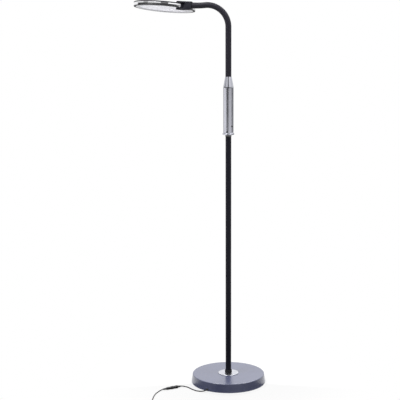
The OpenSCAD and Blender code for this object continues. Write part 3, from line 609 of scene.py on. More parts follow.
class LampColours(bpy.types.PropertyGroup):
    """Colours of the lamp's main surfaces."""

    base: tint("Base", "Enamel of the base", (0.07, 0.08, 0.15))
    pole: tint("Pole", "Enamel of the pole", (0.009, 0.009, 0.015))
    neck: tint("Neck", "Sleeve of the flexible neck", (0.016, 0.015, 0.022))
    handle: tint("Handle", "Metal of the grip", (0.49, 0.495, 0.55))
    disc: tint("Disc", "Metal of the disc round the foot of the pole", (0.60, 0.61, 0.66))
    rim: tint("Rim", "Metal of the head's rim", (0.86, 0.86, 0.88))
    bezel: tint("Underside", "Metal of the flat ring under the head", (0.50, 0.50, 0.53))
    opal: tint("Diffuser", "Opal disc under the head", (0.88, 0.875, 0.95))
    cord: tint("Cord", "Sheath of the cord", (0.008, 0.008, 0.010))


class LampDetail(bpy.types.PropertyGroup):
    """Fine sizes that only the finished surfaces have."""

    ridge_pitch: length("Ridge pitch", "Distance between the neck's ridges", 0.001, 0.01, 0.0026)
    ridge_height: length("Ridge height", "Height of the neck's ridges", 0.0, 0.001, 0.00012)
    knurls: count("Knurls", "Grip lines round the collar", 12, 90, 44)
    knurl_depth: length("Knurl depth", "Depth of the collar's grip lines", 0.0001, 0.001, 0.0004)
    edge: length("Edge", "Rounding of the collar's foot", 0.0001, 0.001, 0.0005)
    boot_rings: count("Boot rings", "Rings of each strain relief", 2, 8, 4)


class CordSizes(bpy.types.PropertyGroup):
    """Sizes of the cord and of the adapter's lead."""

    cord_diameter: length("Cord", "Diameter of the lamp's cord", 0.003, 0.004, 0.0035)
    lead_diameter: length("Lead", "Diameter of the adapter's lead", 0.003, 0.0036, 0.0032)


def detail():
    """The detail settings."""
    return bpy.context.scene.lamp_detail


def cord_sizes():
    """The cord's size settings."""
    return bpy.context.scene.lamp_cord_sizes


# Base and foot of the pole -----------------------------------------------------------


class LAMP_OT_base(bpy.types.Operator):
    """Enamelled base cover with its pillars, the parts closed in it and the cord's gland"""

    bl_idname = "lamp.make_base"
    bl_label = "Base"

    wall = 2.5 * MM
    lean = 4 * MM  # from the foot's radius to the top's
    rebate = 3.8 * MM  # from the foot's radius to the plate's
    pillar, pillar_bore, pillar_inset = 4 * MM, 1.5 * MM, 3 * MM

    def execute(self, context):
        radius, foot, top = spans("base_cover")
        top_radius, plate_radius = radius - self.lean, radius - self.rebate
        plate_top = spans("base_plate")[2]
        line = outline([
            (0, top, 0), (top_radius, top, 2.6 * MM),
            (radius, foot + 1.5 * MM, 0.8 * MM), (radius, foot, 0.4 * MM),
            (plate_radius, foot, 0), (plate_radius, plate_top, 0),
            (top_radius - self.wall, top - self.wall, 1.5 * MM), (0, top - self.wall, 0),
        ], steps=10)
        shapes = [revolve(line, upright(), 256)]
        pillar_ring = corners("base_screws")[1][0] - self.pillar_inset
        pillar = ring_line(self.pillar_bore, self.pillar, plate_top, top - self.wall / 2, 0.3 * MM)
        for k in range(5):
            turn = 2 * math.pi * k / 5
            place = upright()
            place[:2, 3] = pillar_ring * math.cos(turn), pillar_ring * math.sin(turn)
            shapes.append(revolve(pillar, place, 24, closed=True))
        set_piece(build("base_shell", shapes, finish("base enamel")), "stand", "base_paint", "base_cover")
        repaint("dark foam", "pad", "base_pad", "flange_seal")
        repaint("cast iron", "iron", "base_weight")
        repaint("gland", "cord_plastic", "cord_gland", "pole_wire")
        return {"FINISHED"}


class LAMP_OT_foot(bpy.types.Operator):
    """Bright disc and knurled collar round the foot of the pole"""

    bl_idname = "lamp.make_foot"
    bl_label = "Foot of the pole"

    disc_bore = 5.2 * MM
    collar_foot, collar_chamfer = 0.8 * MM, 1.2 * MM  # heights of the plain bands below and above the knurls

    def execute(self, context):
        radius, foot, top = spans("flange_disc")
        line = ring_line(self.disc_bore, radius, foot, top, 0.2 * MM, 0.7 * MM, steps=8)
        disc = turned("foot_disc", line, finish("bright disc"), 192)
        set_piece(disc, "stand", "bright_disc", "flange_disc")
        set_piece(self.collar(), "stand", "collar", "pole_collar")
        return {"FINISHED"}

    def collar(self):
        """Collar as a grid: the radius is the outline's, less a ridge wave round it in the middle band."""
        radius, foot, top = spans("pole_collar")
        bore = corners("pole_lower")[1][0]
        depth, ridges, edge = detail().knurl_depth, detail().knurls, detail().edge
        low, high = foot + self.collar_foot, top - self.collar_chamfer
        line = outline([
            (bore, foot, 0), (radius - 2 * depth, foot, edge), (radius - 2 * depth, low, 0),
            (radius, low + 0.5 * MM, 0), (radius, high, 0), (radius - 1.0 * MM, top, 0.2 * MM),
            (bore, top, 0),
        ], closed=True)
        angle = np.linspace(0, 2 * math.pi, ridges * 8, endpoint=False)
        r, z = line[:, 0:1], line[:, 1:2]
        band = (z > low + 0.2 * MM) & (z < high + 0.2 * MM) & (r > radius - edge)
        wave = 0.5 - 0.5 * np.cos(angle * ridges)
        r = r - np.where(band, depth * wave, 0)
        points = np.stack([r * np.cos(angle), r * np.sin(angle), z + 0 * angle], -1)
        return build("foot_collar", [grid(points, wrap_rows=True)], finish("collar black"), sharp=50)


class LAMP_OT_pole(bpy.types.Operator):
    """The two enamelled tubes of the pole, with a hair line where they meet"""

    bl_idname = "lamp.make_pole"
    bl_label = "Pole"

    wall = 1.2 * MM
    joint_edge = 0.25 * MM

    def execute(self, context):
        enamel = finish("pole enamel")
        for name, node, low_edge, high_edge in (
            ("pole_tube_low", "pole_lower", 0.0, self.joint_edge),
            ("pole_tube_high", "pole_upper", self.joint_edge, 0.0),
        ):
            radius, foot, top = spans(node)
            line = ring_line(radius - self.wall, radius, foot, top, low_edge, high_edge, steps=3)
            set_piece(turned(name, line, enamel, 96), "stand", "pole_paint", node)
        return {"FINISHED"}


# Handle ------------------------------------------------------------------------------


def bored(piece, matrix, radius, depth):
    """Cuts a round hole through a piece, along the matrix's Z, and leaves the mesh final."""
    drill_line = np.array([[0, 0], [radius, 0], [radius, depth], [0, depth]], float)
    drill = build("drill", [revolve(drill_line, matrix, 48)], piece.data.materials[0])
    cut = piece.modifiers.new("Hole", "BOOLEAN")
    cut.operation = "DIFFERENCE"
    cut.solver = "EXACT"
    cut.object = drill
    evaluated = piece.evaluated_get(bpy.context.evaluated_depsgraph_get())
    mesh = bpy.data.meshes.new_from_object(evaluated)
    piece.modifiers.clear()
    piece.data = mesh
    bpy.data.objects.remove(drill)
    mesh.set_sharp_from_angle(angle=math.radians(32))


class LAMP_OT_handle(bpy.types.Operator):
    """Silver grip with its ring and bush, the push button and what is inside it"""

    bl_idname = "lamp.make_handle"
    bl_label = "Handle"

    bush, spigot = 12 * MM, 15 * MM  # the ring's inner radius and its spigot's
    wall, mouth, cone = 2 * MM, 10.6 * MM, 37 * MM  # the sleeve's, with its mouth's radius
    hole_depth = 20 * MM
    # The button's radii, and how far from the pole's axis each part of it starts.
    plunger, plunger_foot = 1.8 * MM, 10.4 * MM
    head, head_foot, head_face = 2.8 * MM, 15.6 * MM, 18.8 * MM

    def execute(self, context):
        silver = finish("handle silver")
        self.make_bush()
        ring, sleeve = self.make_ring(silver), self.make_sleeve(silver)
        low, high = corners("switch_button")
        across = axes_frame(np.array([0, 0, (low[2] + high[2]) / 2]), -joint_axis("switch_press"), UP)
        bored(sleeve, across, (high[2] - low[2]) / 2 + 0.2 * MM, self.hole_depth)
        low, high = corners("handle_screw")
        middle = (low + high) / 2
        screw = axes_frame(middle * [0, 0, 1], unit(middle * [1, 1, 0]), UP)
        for piece in (sleeve, ring):
            bored(piece, screw, (high[2] - low[2]) / 2 + 0.05 * MM, self.hole_depth)
        set_piece(ring, "stand", "handle_metal", "handle_ring")
        set_piece(sleeve, "stand", "handle_metal", "handle_sleeve")
        self.make_button(across)
        repaint("switch plastic", "black_gloss", "switch_body", "driver_parts")
        repaint("screw black", "black_screw", "handle_screw")
        repaint("white moulding", "white_plastic", "driver_carrier")
        repaint("circuit lacquer", "circuit", "driver_board")
        return {"FINISHED"}

    def make_bush(self):
        """Black bush: a short tapered skirt below, then the part inside the ring and sleeve."""
        flange, foot, top = spans("pole_bush")
        bore = corners("pole_lower")[1][0]
        ring_foot, ring_top = spans("handle_ring")[1:]
        line = outline([
            (bore, foot, 0), (bore + 0.6 * MM, foot, 0.3 * MM), (bore + 1.1 * MM, ring_foot, 0),
            (self.bush, ring_foot, 0), (self.bush, ring_top, 0),
            (flange, ring_top, 0.3 * MM), (flange, top, 0.5 * MM), (bore, top, 0),
        ], closed=True)
        set_piece(turned("grip_bush", line, finish("bush black"), 96), "stand", "black_gloss", "pole_bush")

    def make_ring(self, silver):
        """Ring at the grip's foot: a wide lip, and a spigot that stands inside the sleeve."""
        radius, foot, top = spans("handle_ring")
        step = spans("handle_sleeve")[1]
        line = outline([
            (self.bush, foot, 0), (radius, foot, 0.8 * MM), (radius, step, 1.2 * MM),
            (self.spigot, step, 0), (self.spigot, top, 0), (self.bush, top, 0),
        ], closed=True, steps=8)
        return turned("grip_ring", line, silver, 160)

    def make_sleeve(self, silver):
        """Grip: a straight wall with its rows close round the holes, then a cone whose slope sets in over
        the first sixth, as the square of the way, and stays the same up to the mouth."""
        radius, foot, top = spans("handle_sleeve")
        nose, soft = top - self.cone, 1 / 6
        t = np.linspace(0, 1, 49)
        falls = np.where(t < soft, t * t / (2 * soft), t - soft / 2) / (1 - soft / 2)
        outer = np.stack([radius - (radius - self.mouth) * falls, nose + (top - nose) * t], 1)
        inner = outer.copy()
        inner[:, 0] = np.maximum(inner[:, 0] - self.wall, self.mouth - 0.5 * MM)
        straight = np.linspace(foot + 0.4 * MM, nose, 60)[:-1]
        wall_out = np.stack([radius + 0 * straight, straight], 1)
        wall_in = np.stack([radius - self.wall + 0 * straight, straight], 1)
        rim = [[radius - self.wall, foot], [radius - 0.4 * MM, foot], [radius - 0.1 * MM, foot + 0.1 * MM]]
        line = np.concatenate([rim, wall_out, outer, inner[::-1], wall_in[::-1]])
        return turned("grip_sleeve", line, silver, 160)

    def make_button(self, across):
        """Push button: a round head with a shallow dish, and its plunger."""
        line = outline([
            (0, self.plunger_foot, 0), (self.plunger, self.plunger_foot, 0),
            (self.plunger, self.head_foot, 0), (self.head, self.head_foot, 0),
            (self.head, self.head_face, 0.6 * MM), (self.head * 0.5, self.head_face - 0.1 * MM, 0),
            (0, self.head_face - 0.25 * MM, 0),
        ])
        button = build("power_button", [revolve(line, across, 48)], finish("button black"))
        set_piece(button, "switch_button", "black_gloss", "switch_button")


# Flexible neck -----------------------------------------------------------------------


def neck_line():
    """Middle line of the neck: straight up to the fourth hinge, then a round arc to each next point. Each
    arc leaves along the direction in which the last one arrived. Gives the points, about 1 mm apart, and
    the length along the line at the ends of the links."""
    foot = np.array([0, 0, spans("neck_link_1")[1]])
    stops = [foot] + [joint_at(f"neck_bend_{k}") for k in range(1, 9)] + [joint_at("head_roll")]
    heading = UP.copy()
    points, at, run = [foot[None]], [0.0], 0.0
    for start, end in zip(stops[:-1], stops[1:]):
        chord = end - start
        reach = np.linalg.norm(chord)
        along = chord / reach
        half = math.acos(float(np.clip(heading @ along, -1, 1)))
        s = np.linspace(0, 1, max(6, int(reach / MM)) + 1)[1:, None]
        if half < 1e-4:
            points.append(start + chord * s)
        else:
            radius = reach / 2 / math.sin(half)
            inward = unit(along - (along @ heading) * heading)
            turn = 2 * half * s
            points.append(start + radius * (np.sin(turn) * heading + (1 - np.cos(turn)) * inward))
            reach = radius * 2 * half
            heading = unit(2 * (heading @ along) * along - heading)
        run += reach
        at.append(run)
    return np.concatenate(points), at


class LAMP_OT_neck(bpy.types.Operator):
    """Sleeve of the flexible neck, in sections that each run across one hinge"""

    bl_idname = "lamp.make_neck"
    bl_label = "Flexible neck"

    spare = 0.3 * MM  # kept clear between a section's ends and the points inside it
    margin = 2.5 * MM  # of each section

    def execute(self, context):
        ridges = ("ridges", 1 / detail().ridge_pitch, detail().ridge_height)
        sleeve = finish("neck sleeve", lines=ridges)
        radius = spans("neck_link_2")[0]
        line, at = neck_line()
        run = along(line)
        cuts = [0.0] + [(a + b) / 2 for a, b in zip(at[:-1], at[1:])] + [at[-1]]

        def point(distance):
            return np.array([np.interp(distance, run, line[:, k]) for k in range(3)])

        for k, (start, end) in enumerate(zip(cuts[:-1], cuts[1:])):
            inside = (run > start + self.spare) & (run < end - self.spare)
            path = np.concatenate([point(start)[None], line[inside], point(end)[None]])
            shape = carried(path, radius, 72, start_at=start)
            piece = build(f"neck_sleeve_{k}", [shape], sleeve, sharp=50)
            if k == 0:
                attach(piece, "neck_1")
                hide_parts("neck_link_1")
            elif k == 9:
                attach(piece, "neck_9")
            else:
                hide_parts(f"neck_link_{k + 1}")
                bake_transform(piece)
        return {"FINISHED"}


# Fork and head -----------------------------------------------------------------------


class LAMP_OT_fork(bpy.types.Operator):
    """Black fork with rounded edges"""

    bl_idname = "lamp.make_fork"
    bl_label = "Fork"

    def execute(self, context):
        piece = copied("fork", "fork_body", finish("fork black"), 0.7 * MM)
        set_piece(piece, "fork", "fork_metal", "fork")
        return {"FINISHED"}


class LAMP_OT_head(bpy.types.Operator):
    """Round flat head: polished rim, black cover, opal diffuser, and what is inside"""

    bl_idname = "lamp.make_head"
    bl_label = "Lamp head"

    radius, half = 103 * MM, 7.5 * MM  # of the disc, with half its thickness
    wall, bezel, floor = 2.5 * MM, 21 * MM, 1.6 * MM  # the rim's wall, its flat ring and that one's thickness
    edge_width = 7.5 * MM  # of the flat ring's edge, whose dark colour is a painted reflection of dark surroundings
    cover_edge, cover_wall = 4 * MM, 2 * MM
    inset, pin_bore, lid_bore = 10 * MM, 2.55 * MM, 3 * MM  # the pivot pin, from the edge, and its bores
    boss, boss_floor = 8 * MM, 0.8 * MM
    pillar, pillar_bore, pillar_inset = 3.5 * MM, 1.4 * MM, 3 * MM
    screw_head, screw_depth, hole_depth = 2.75 * MM, 1.25 * MM, 4 * MM

    def execute(self, context):
        place = head_frame()
        self.rim(place)
        self.cover(place)
        self.diffuser(place)
        repaint("white moulding", "white_plastic", "light_ring")
        repaint("white moulding", "board_metal", "led_board")
        repaint("diode lens", "chip", "led_chips")
        return {"FINISHED"}

    def pillars(self):
        """Where the four pillars stand, in the head's plane."""
        out = self.radius - self.wall - self.pillar_inset
        return [(out * math.cos(turn), out * math.sin(turn)) for turn in np.radians((45, 135, 225, 315))]

    def rim(self, place):
        """Rim: the flat underside as one ring with an edge round it, whose dark colour is a painted
        reflection of dark surroundings in the polished edge; on it an upright wall, the pivot boss and four
        pillars.
        The wall's outer face is upright above and leans in below, by sin(6 degrees) of the drop."""
        low, top = -self.half, self.half - self.cover_edge
        seat = low + self.floor
        inner, edge, foot = (self.radius - inset for inset in (self.bezel, self.edge_width, 0.6 * MM))
        flat = outline(
            [(inner, low, 0.5 * MM), (edge, low, 0), (edge, seat, 0), (inner, seat, 0.2 * MM)], closed=True
        )
        # The edge ring's near-black colour is painted reflection: it stands for the rim's rounded edge
        # mirroring dark surroundings.
        rounded = ring_line(edge, foot, low, seat, 1.0 * MM, steps=10)
        arm = self.radius - self.inset
        for name, line, metal, slot in (
            ("head_bezel", flat, "satin underside", "rim_metal"),
            ("head_edge", rounded, "edge black", "head_black"),
        ):
            piece = turned(name, line, finish(metal), 320, place)
            bored(piece, shifted(place, arm, 0, low - 1 * MM), self.pin_bore, self.hole_depth)
            set_piece(piece, "head", slot)
        bend = top - 3.6 * MM
        lean = (bend - seat) * math.sin(math.radians(6))
        wall = outline([
            (self.radius - self.wall, seat, 0), (self.radius - lean, seat, 0),
            (self.radius, bend, 0.4 * MM), (self.radius, top, 0.1 * MM),
            (self.radius - self.wall, top, 0),
        ], closed=True)
        span = low + self.boss_floor, top - 0.05 * MM
        boss = ring_line(self.pin_bore, self.boss, *span)
        pillar = ring_line(self.pillar_bore, self.pillar, *span)
        shapes = [revolve(wall, place, 320, closed=True)]
        shapes.append(revolve(boss, shifted(place, arm, 0), 32, closed=True))
        shapes += [revolve(pillar, shifted(place, *spot), 32, closed=True) for spot in self.pillars()]
        set_piece(build("head_band", shapes, finish("polished rim")), "head", "rim_metal", "head_rim")

    def cover(self, place):
        """Top cover: a thin disc with a deeper edge that sits on the rim's wall."""
        top, low = self.half, self.half - self.cover_edge
        inner = self.radius - self.wall - self.pillar_inset
        line = outline([
            (0, top - self.cover_wall, 0), (inner, top - self.cover_wall, 0), (inner, low, 0.2 * MM),
            (self.radius, low, 0.2 * MM), (self.radius, top, 1.2 * MM), (0, top, 0),
        ], steps=8)
        piece = build("head_lid", [revolve(line, place, 320)], finish("lid black"))
        for spot in self.pillars():
            bored(piece, shifted(place, *spot, top - self.screw_depth), self.screw_head, self.hole_depth)
        pin = shifted(place, self.radius - self.inset, 0, top - 3 * MM)
        bored(piece, pin, self.lid_bore, self.hole_depth)
        set_piece(piece, "head", "head_black", "head_cover")

    def diffuser(self, place):
        """Opal disc: two flat faces, in rings close enough to shade evenly."""
        rest, thick = -self.half + self.floor, 2 * MM
        radius = self.radius - self.bezel + 2 * MM
        share = np.linspace(0, 1, 24)
        under = np.stack([radius * share, rest + 0 * share], 1)
        upper = np.stack([radius * share[::-1], rest + thick + 0 * share], 1)
        line = np.concatenate([under, upper])
        piece = build("opal_disc", [revolve(line, place, 192)], finish("opal diffuser"))
        set_piece(piece, "head", "opal", "diffuser")


# Cord, jack, lead and adapter ----------------------------------------------------------

LAMP_CORD = [
    (-73.3, -108.7, 7), (-75.2, -111.4, 6.7), (-79.6, -112.8, 5.4), (-87.5, -109.6, 3),
    (-97, -106.3, 2), (-106.5, -101.5, 1.8), (-114, -94, 1.8), (-122, -85, 1.8), (-129, -75, 1.8),
    (-136, -65.5, 1.8), (-144, -60, 2), (-152, -60.3, 3.8), (-160, -64, 5.2),
]
ADAPTER_LEAD = [
    (-217.5, -96.4, 5.2), (-226, -102.5, 3), (-233, -113, 1.6), (-238, -126, 1.6),
    (-241.5, -140, 1.6), (-244, -156, 1.6), (-245.8, -174, 1.6), (-246.8, -192, 1.6),
    (-247, -212, 1.7), (-247, -232, 2.2), (-247.2, -249, 2.3),
]
LEAD_TAIL = [
    (-211.5, -285.1, 11.9), (-204, -286.2, 12), (-196, -288.4, 12.4), (-188, -290.3, 12.8),
    (-180, -291, 13),
]
INTO_ADAPTER = (30 * MM, 0.0, 0.0)


def along(points):
    """The length along a polyline at each of its points."""
    step = np.linalg.norm(np.diff(points, axis=0), axis=1)
    return np.concatenate([[0], np.cumsum(step)])


def even(points, spacing):
    """The polyline's points, evenly spaced along it."""
    run = along(points)
    at = np.linspace(0, run[-1], max(2, int(round(run[-1] / spacing)) + 1))
    return np.stack([np.interp(at, run, points[:, k]) for k in range(3)], 1)


def smooth_route(route, spacing=2 * MM):
    """Curve through the route's points: between two points a cubic whose slope at each is half the step
    from the point before to the point after. The points come back evenly spaced."""
    p = np.asarray(route, float)
    p = np.concatenate([2 * p[:1] - p[1:2], p, 2 * p[-1:] - p[-2:-1]])
    t = np.linspace(0, 1, 24, endpoint=False)[:, None]
    pieces = [
        0.5 * (2 * b + (c - a) * t + (2 * a - 5 * b + 4 * c - d) * t**2 + (3 * b - a - 3 * c + d) * t**3)
        for a, b, c, d in zip(p[:-3], p[1:-2], p[2:-1], p[3:])
    ]
    return even(np.concatenate(pieces + [p[-2:-1]]), spacing)


def relaxed(points, passes):
    """The polyline with each inner point moved to the mean of itself and its neighbours' middle."""
    p = points.copy()
    for _ in range(passes):
        p[1:-1] = p[1:-1] / 2 + (p[:-2] + p[2:]) / 4
    return p


def coil_turns(centre, middle_radius, diameter, floor, columns=4, layers=4):
    """Tied coil, wound from its outside at the floor: a flat spiral inwards, a short climb by one
    diameter, a spiral outwards, and so on. It starts at the left and ends at the front, on top."""
    climb = math.radians(60)
    turns = (columns - 1) - 1 / 16
    reach = (columns - 1) * diameter
    inner, outer = middle_radius - reach / 2, middle_radius + reach / 2
    angles, radii, heights = [], [], []
    at = math.pi
    for layer in range(layers):
        a, b = (outer, inner) if layer % 2 == 0 else (inner, outer)
        s = np.linspace(0, 1, int(turns * 40))
        angles.append(at + s * turns * 2 * math.pi)
        radii.append(a + (b - a) * s)
        heights.append(floor + diameter * (layer + 0.5) + 0 * s)
        at += turns * 2 * math.pi
        if layer < layers - 1:
            s = np.linspace(0, 1, 10)[1:-1]
            angles.append(at + s * climb)
            radii.append(b + 0 * s)
            heights.append(floor + diameter * (layer + 0.5 + s * s * (3 - 2 * s)))
            at += climb
    angle, radius, height = (np.concatenate(a) for a in (angles, radii, heights))
    return np.stack([centre[0] + radius * np.cos(angle), centre[1] + radius * np.sin(angle), height], 1)


def boot(start_radius, end_radius, reach, rings, steps=10):
    """Outline of a strain relief: a straight taper, with a groove between each two of its rings."""
    s = np.linspace(0, 1, rings * steps + 1)
    taper = start_radius + (end_radius - start_radius) * s
    groove = np.clip(np.cos(s * rings * 2 * math.pi) * 3 - 1.6, 0, 1)
    return np.stack([taper - 0.35 * MM * groove, s * reach], 1)


class LAMP_OT_cord(bpy.types.Operator):
    """The lamp's cord with its jack, and the adapter's lead with its plug, coil, tie and adapter"""

    bl_idname = "lamp.make_cord"
    bl_label = "Cord and adapter"

    # Radii of the bodies, of where their boots meet them and of the socket; lengths of boots and bodies.
    jack, jack_neck, socket, socket_pin = 5.2 * MM, 3.8 * MM, 3.2 * MM, 1.0 * MM
    jack_relief, face = 12 * MM, 36 * MM
    plug, plug_neck = 4.6 * MM, 3.6 * MM
    plug_body, plug_relief = 16 * MM, 14 * MM
    adapter_boot, adapter_boot_end = 18 * MM, 3.4 * MM

    def execute(self, context):
        sheath = finish("cord sheath")
        black = finish("connector plastic")
        start, end = np.array(LAMP_CORD[-1]) * MM, np.array(ADAPTER_LEAD[0]) * MM
        place = axes_frame(start, unit(end - start), UP)
        jack, plug = self.make_jack(place, black), self.make_plug(place, black)
        self.make_lamp_cord(sheath, jack)
        self.make_adapter_lead(sheath, plug, self.make_adapter())
        repaint("plated pins", "pins", "adapter_pins")
        repaint("tie black", "black_gloss", "coil_tie")
        return {"FINISHED"}

    def make_jack(self, place, black):
        """Jack: a ribbed boot, a round body with a grip waist, and a socket with its pin."""
        body, waist = self.jack, self.jack - 0.5 * MM
        relief, face = self.jack_relief, self.face
        line = np.concatenate([
            [[0, 0]],
            boot(cord_sizes().cord_diameter / 2 + 0.6 * MM, self.jack_neck, relief, detail().boot_rings),
            outline([
                (self.jack_neck, relief, 0), (body, relief, 0.8 * MM), (body, relief + 7 * MM, 0),
                (waist, relief + 9 * MM, 0), (waist, face - 9 * MM, 0), (body, face - 7 * MM, 0),
                (body, face, 0.5 * MM), (self.socket, face, 0),
            ])[1:],
            [[self.socket, face - 10 * MM], [self.socket_pin, face - 10 * MM]],
            [[self.socket_pin, face - 1 * MM], [0, face - 1 * MM]],
        ])
        piece = build("cord_jack", [revolve(line, place, 64)], black)
        return set_piece(piece, "stand", "cord_plastic", "lamp_jack")

    def make_plug(self, place, black):
        """Plug on the jack's axis: a barrel in the socket, a round body and a ribbed boot."""
        barrel = self.socket - 0.1 * MM
        front, back = self.face + 0.1 * MM, self.face + 0.1 * MM + self.plug_body
        relief = boot(
            self.plug_neck, cord_sizes().lead_diameter / 2 + 0.6 * MM, self.plug_relief, detail().boot_rings
        )
        relief[:, 1] += back
        line = np.concatenate([
            [[0, self.face - 9.5 * MM], [barrel, self.face - 9.5 * MM]],
            outline([
                (barrel, front, 0), (self.plug, front, 0.4 * MM), (self.plug, back, 0.8 * MM),
                (self.plug_neck, back, 0),
            ]),
            relief[1:],
            [[0, back + self.plug_relief]],
        ])
        piece = build("lead_plug", [revolve(line, place, 64)], black)
        return set_piece(piece, "stand", "cord_plastic", "adapter_plug")

    def make_lamp_cord(self, sheath, jack):
        """Cord from the base to the jack."""
        path = smooth_route(np.array(LAMP_CORD) * MM)
        diameter = cord_sizes().cord_diameter
        piece = build("lamp_flex", [carried(path, diameter / 2, 20)], sheath, sharp=50)
        set_piece(piece, "stand", "cord_plastic", "lamp_cord")

    def make_adapter(self):
        """Adapter: a box with round edges and a seam, and a ribbed boot for the lead."""
        low, high = corners("adapter_case")
        low = low + [self.adapter_boot, 0, 0]
        place = np.eye(4)
        place[:3, 3] = (low + high) / 2
        case = soft_box((high - low) / 2, 4 * MM, place, seam=0.35 * MM)
        toward = axes_frame(np.array(LEAD_TAIL[-1]) * MM, np.array([1.0, 0, 0]), UP)
        start, end = cord_sizes().lead_diameter / 2 + 0.5 * MM, self.adapter_boot_end
        line = boot(start, end, self.adapter_boot, detail().boot_rings)
        inside = self.adapter_boot + 1 * MM
        line = np.concatenate([[[0, 0]], line, [[end, inside], [0, inside]]])
        shapes = [case, revolve(line, toward, 48)]
        piece = build("adapter_body", shapes, finish("adapter plastic"))
        piece.modifiers.new("Flat faces", "WEIGHTED_NORMAL").keep_sharp = True
        return set_piece(piece, "stand", "adapter_plastic", "adapter_case")

    def make_adapter_lead(self, sheath, plug, adapter):
        """Lead from the plug over the floor, through the tied coil and up to the adapter."""
        diameter = cord_sizes().lead_diameter
        low, high = corners("lead_coil")
        coil = coil_turns((low + high) / 2, (high[0] - low[0]) / 2 - 2 * diameter, diameter, low[2])
        first = smooth_route(np.array(ADAPTER_LEAD) * MM)
        last = smooth_route(np.array(LEAD_TAIL) * MM)
        inside = last[-1:] + np.array(INTO_ADAPTER)
        path = relaxed(even(np.concatenate([first, coil, last, inside]), 2 * MM), 2)
        piece = build("adapter_flex", [carried(path, diameter / 2, 14)], sheath, sharp=50)
        set_piece(piece, "stand", "cord_plastic", "adapter_lead", "lead_coil", "lead_tail")


# Parts inside --------------------------------------------------------------------------


class LAMP_OT_fittings(bpy.types.Operator):
    """Steel fittings: plates, screws, nuts, tubes, pins and washers"""

    bl_idname = "lamp.finish_fittings"
    bl_label = "Steel fittings"

    def execute(self, context):
        repaint(
            "turned steel", "steel",
            "base_plate", "base_screws", "collar_screw", "pole_nipple", "nipple_washer", "nipple_nut",
            "pole_foot", "pole_coupler", "neck_socket", "swivel_clip", "neck_root", "neck_end",
            "fork_screw", "pivot_pin", "pivot_washers", "cover_screws",
        )
        return {"FINISHED"}


# Stage ---------------------------------------------------------------------------------


def seen_rays(tree):
    """1 for the rays that should see the plain white surroundings: camera, glossy and transmission."""
    path = tree.nodes.new("ShaderNodeLightPath").outputs
    first = calculate(tree, "MAXIMUM", path["Is Camera Ray"], path["Is Glossy Ray"])
    return calculate(tree, "MAXIMUM", first, path["Is Transmission Ray"])


def bare_material(name):
    """A material without a shader."""
    material = bpy.data.materials.new(name)
    material.use_nodes = True
    material.node_tree.nodes.remove(material.node_tree.nodes["Principled BSDF"])
    return material


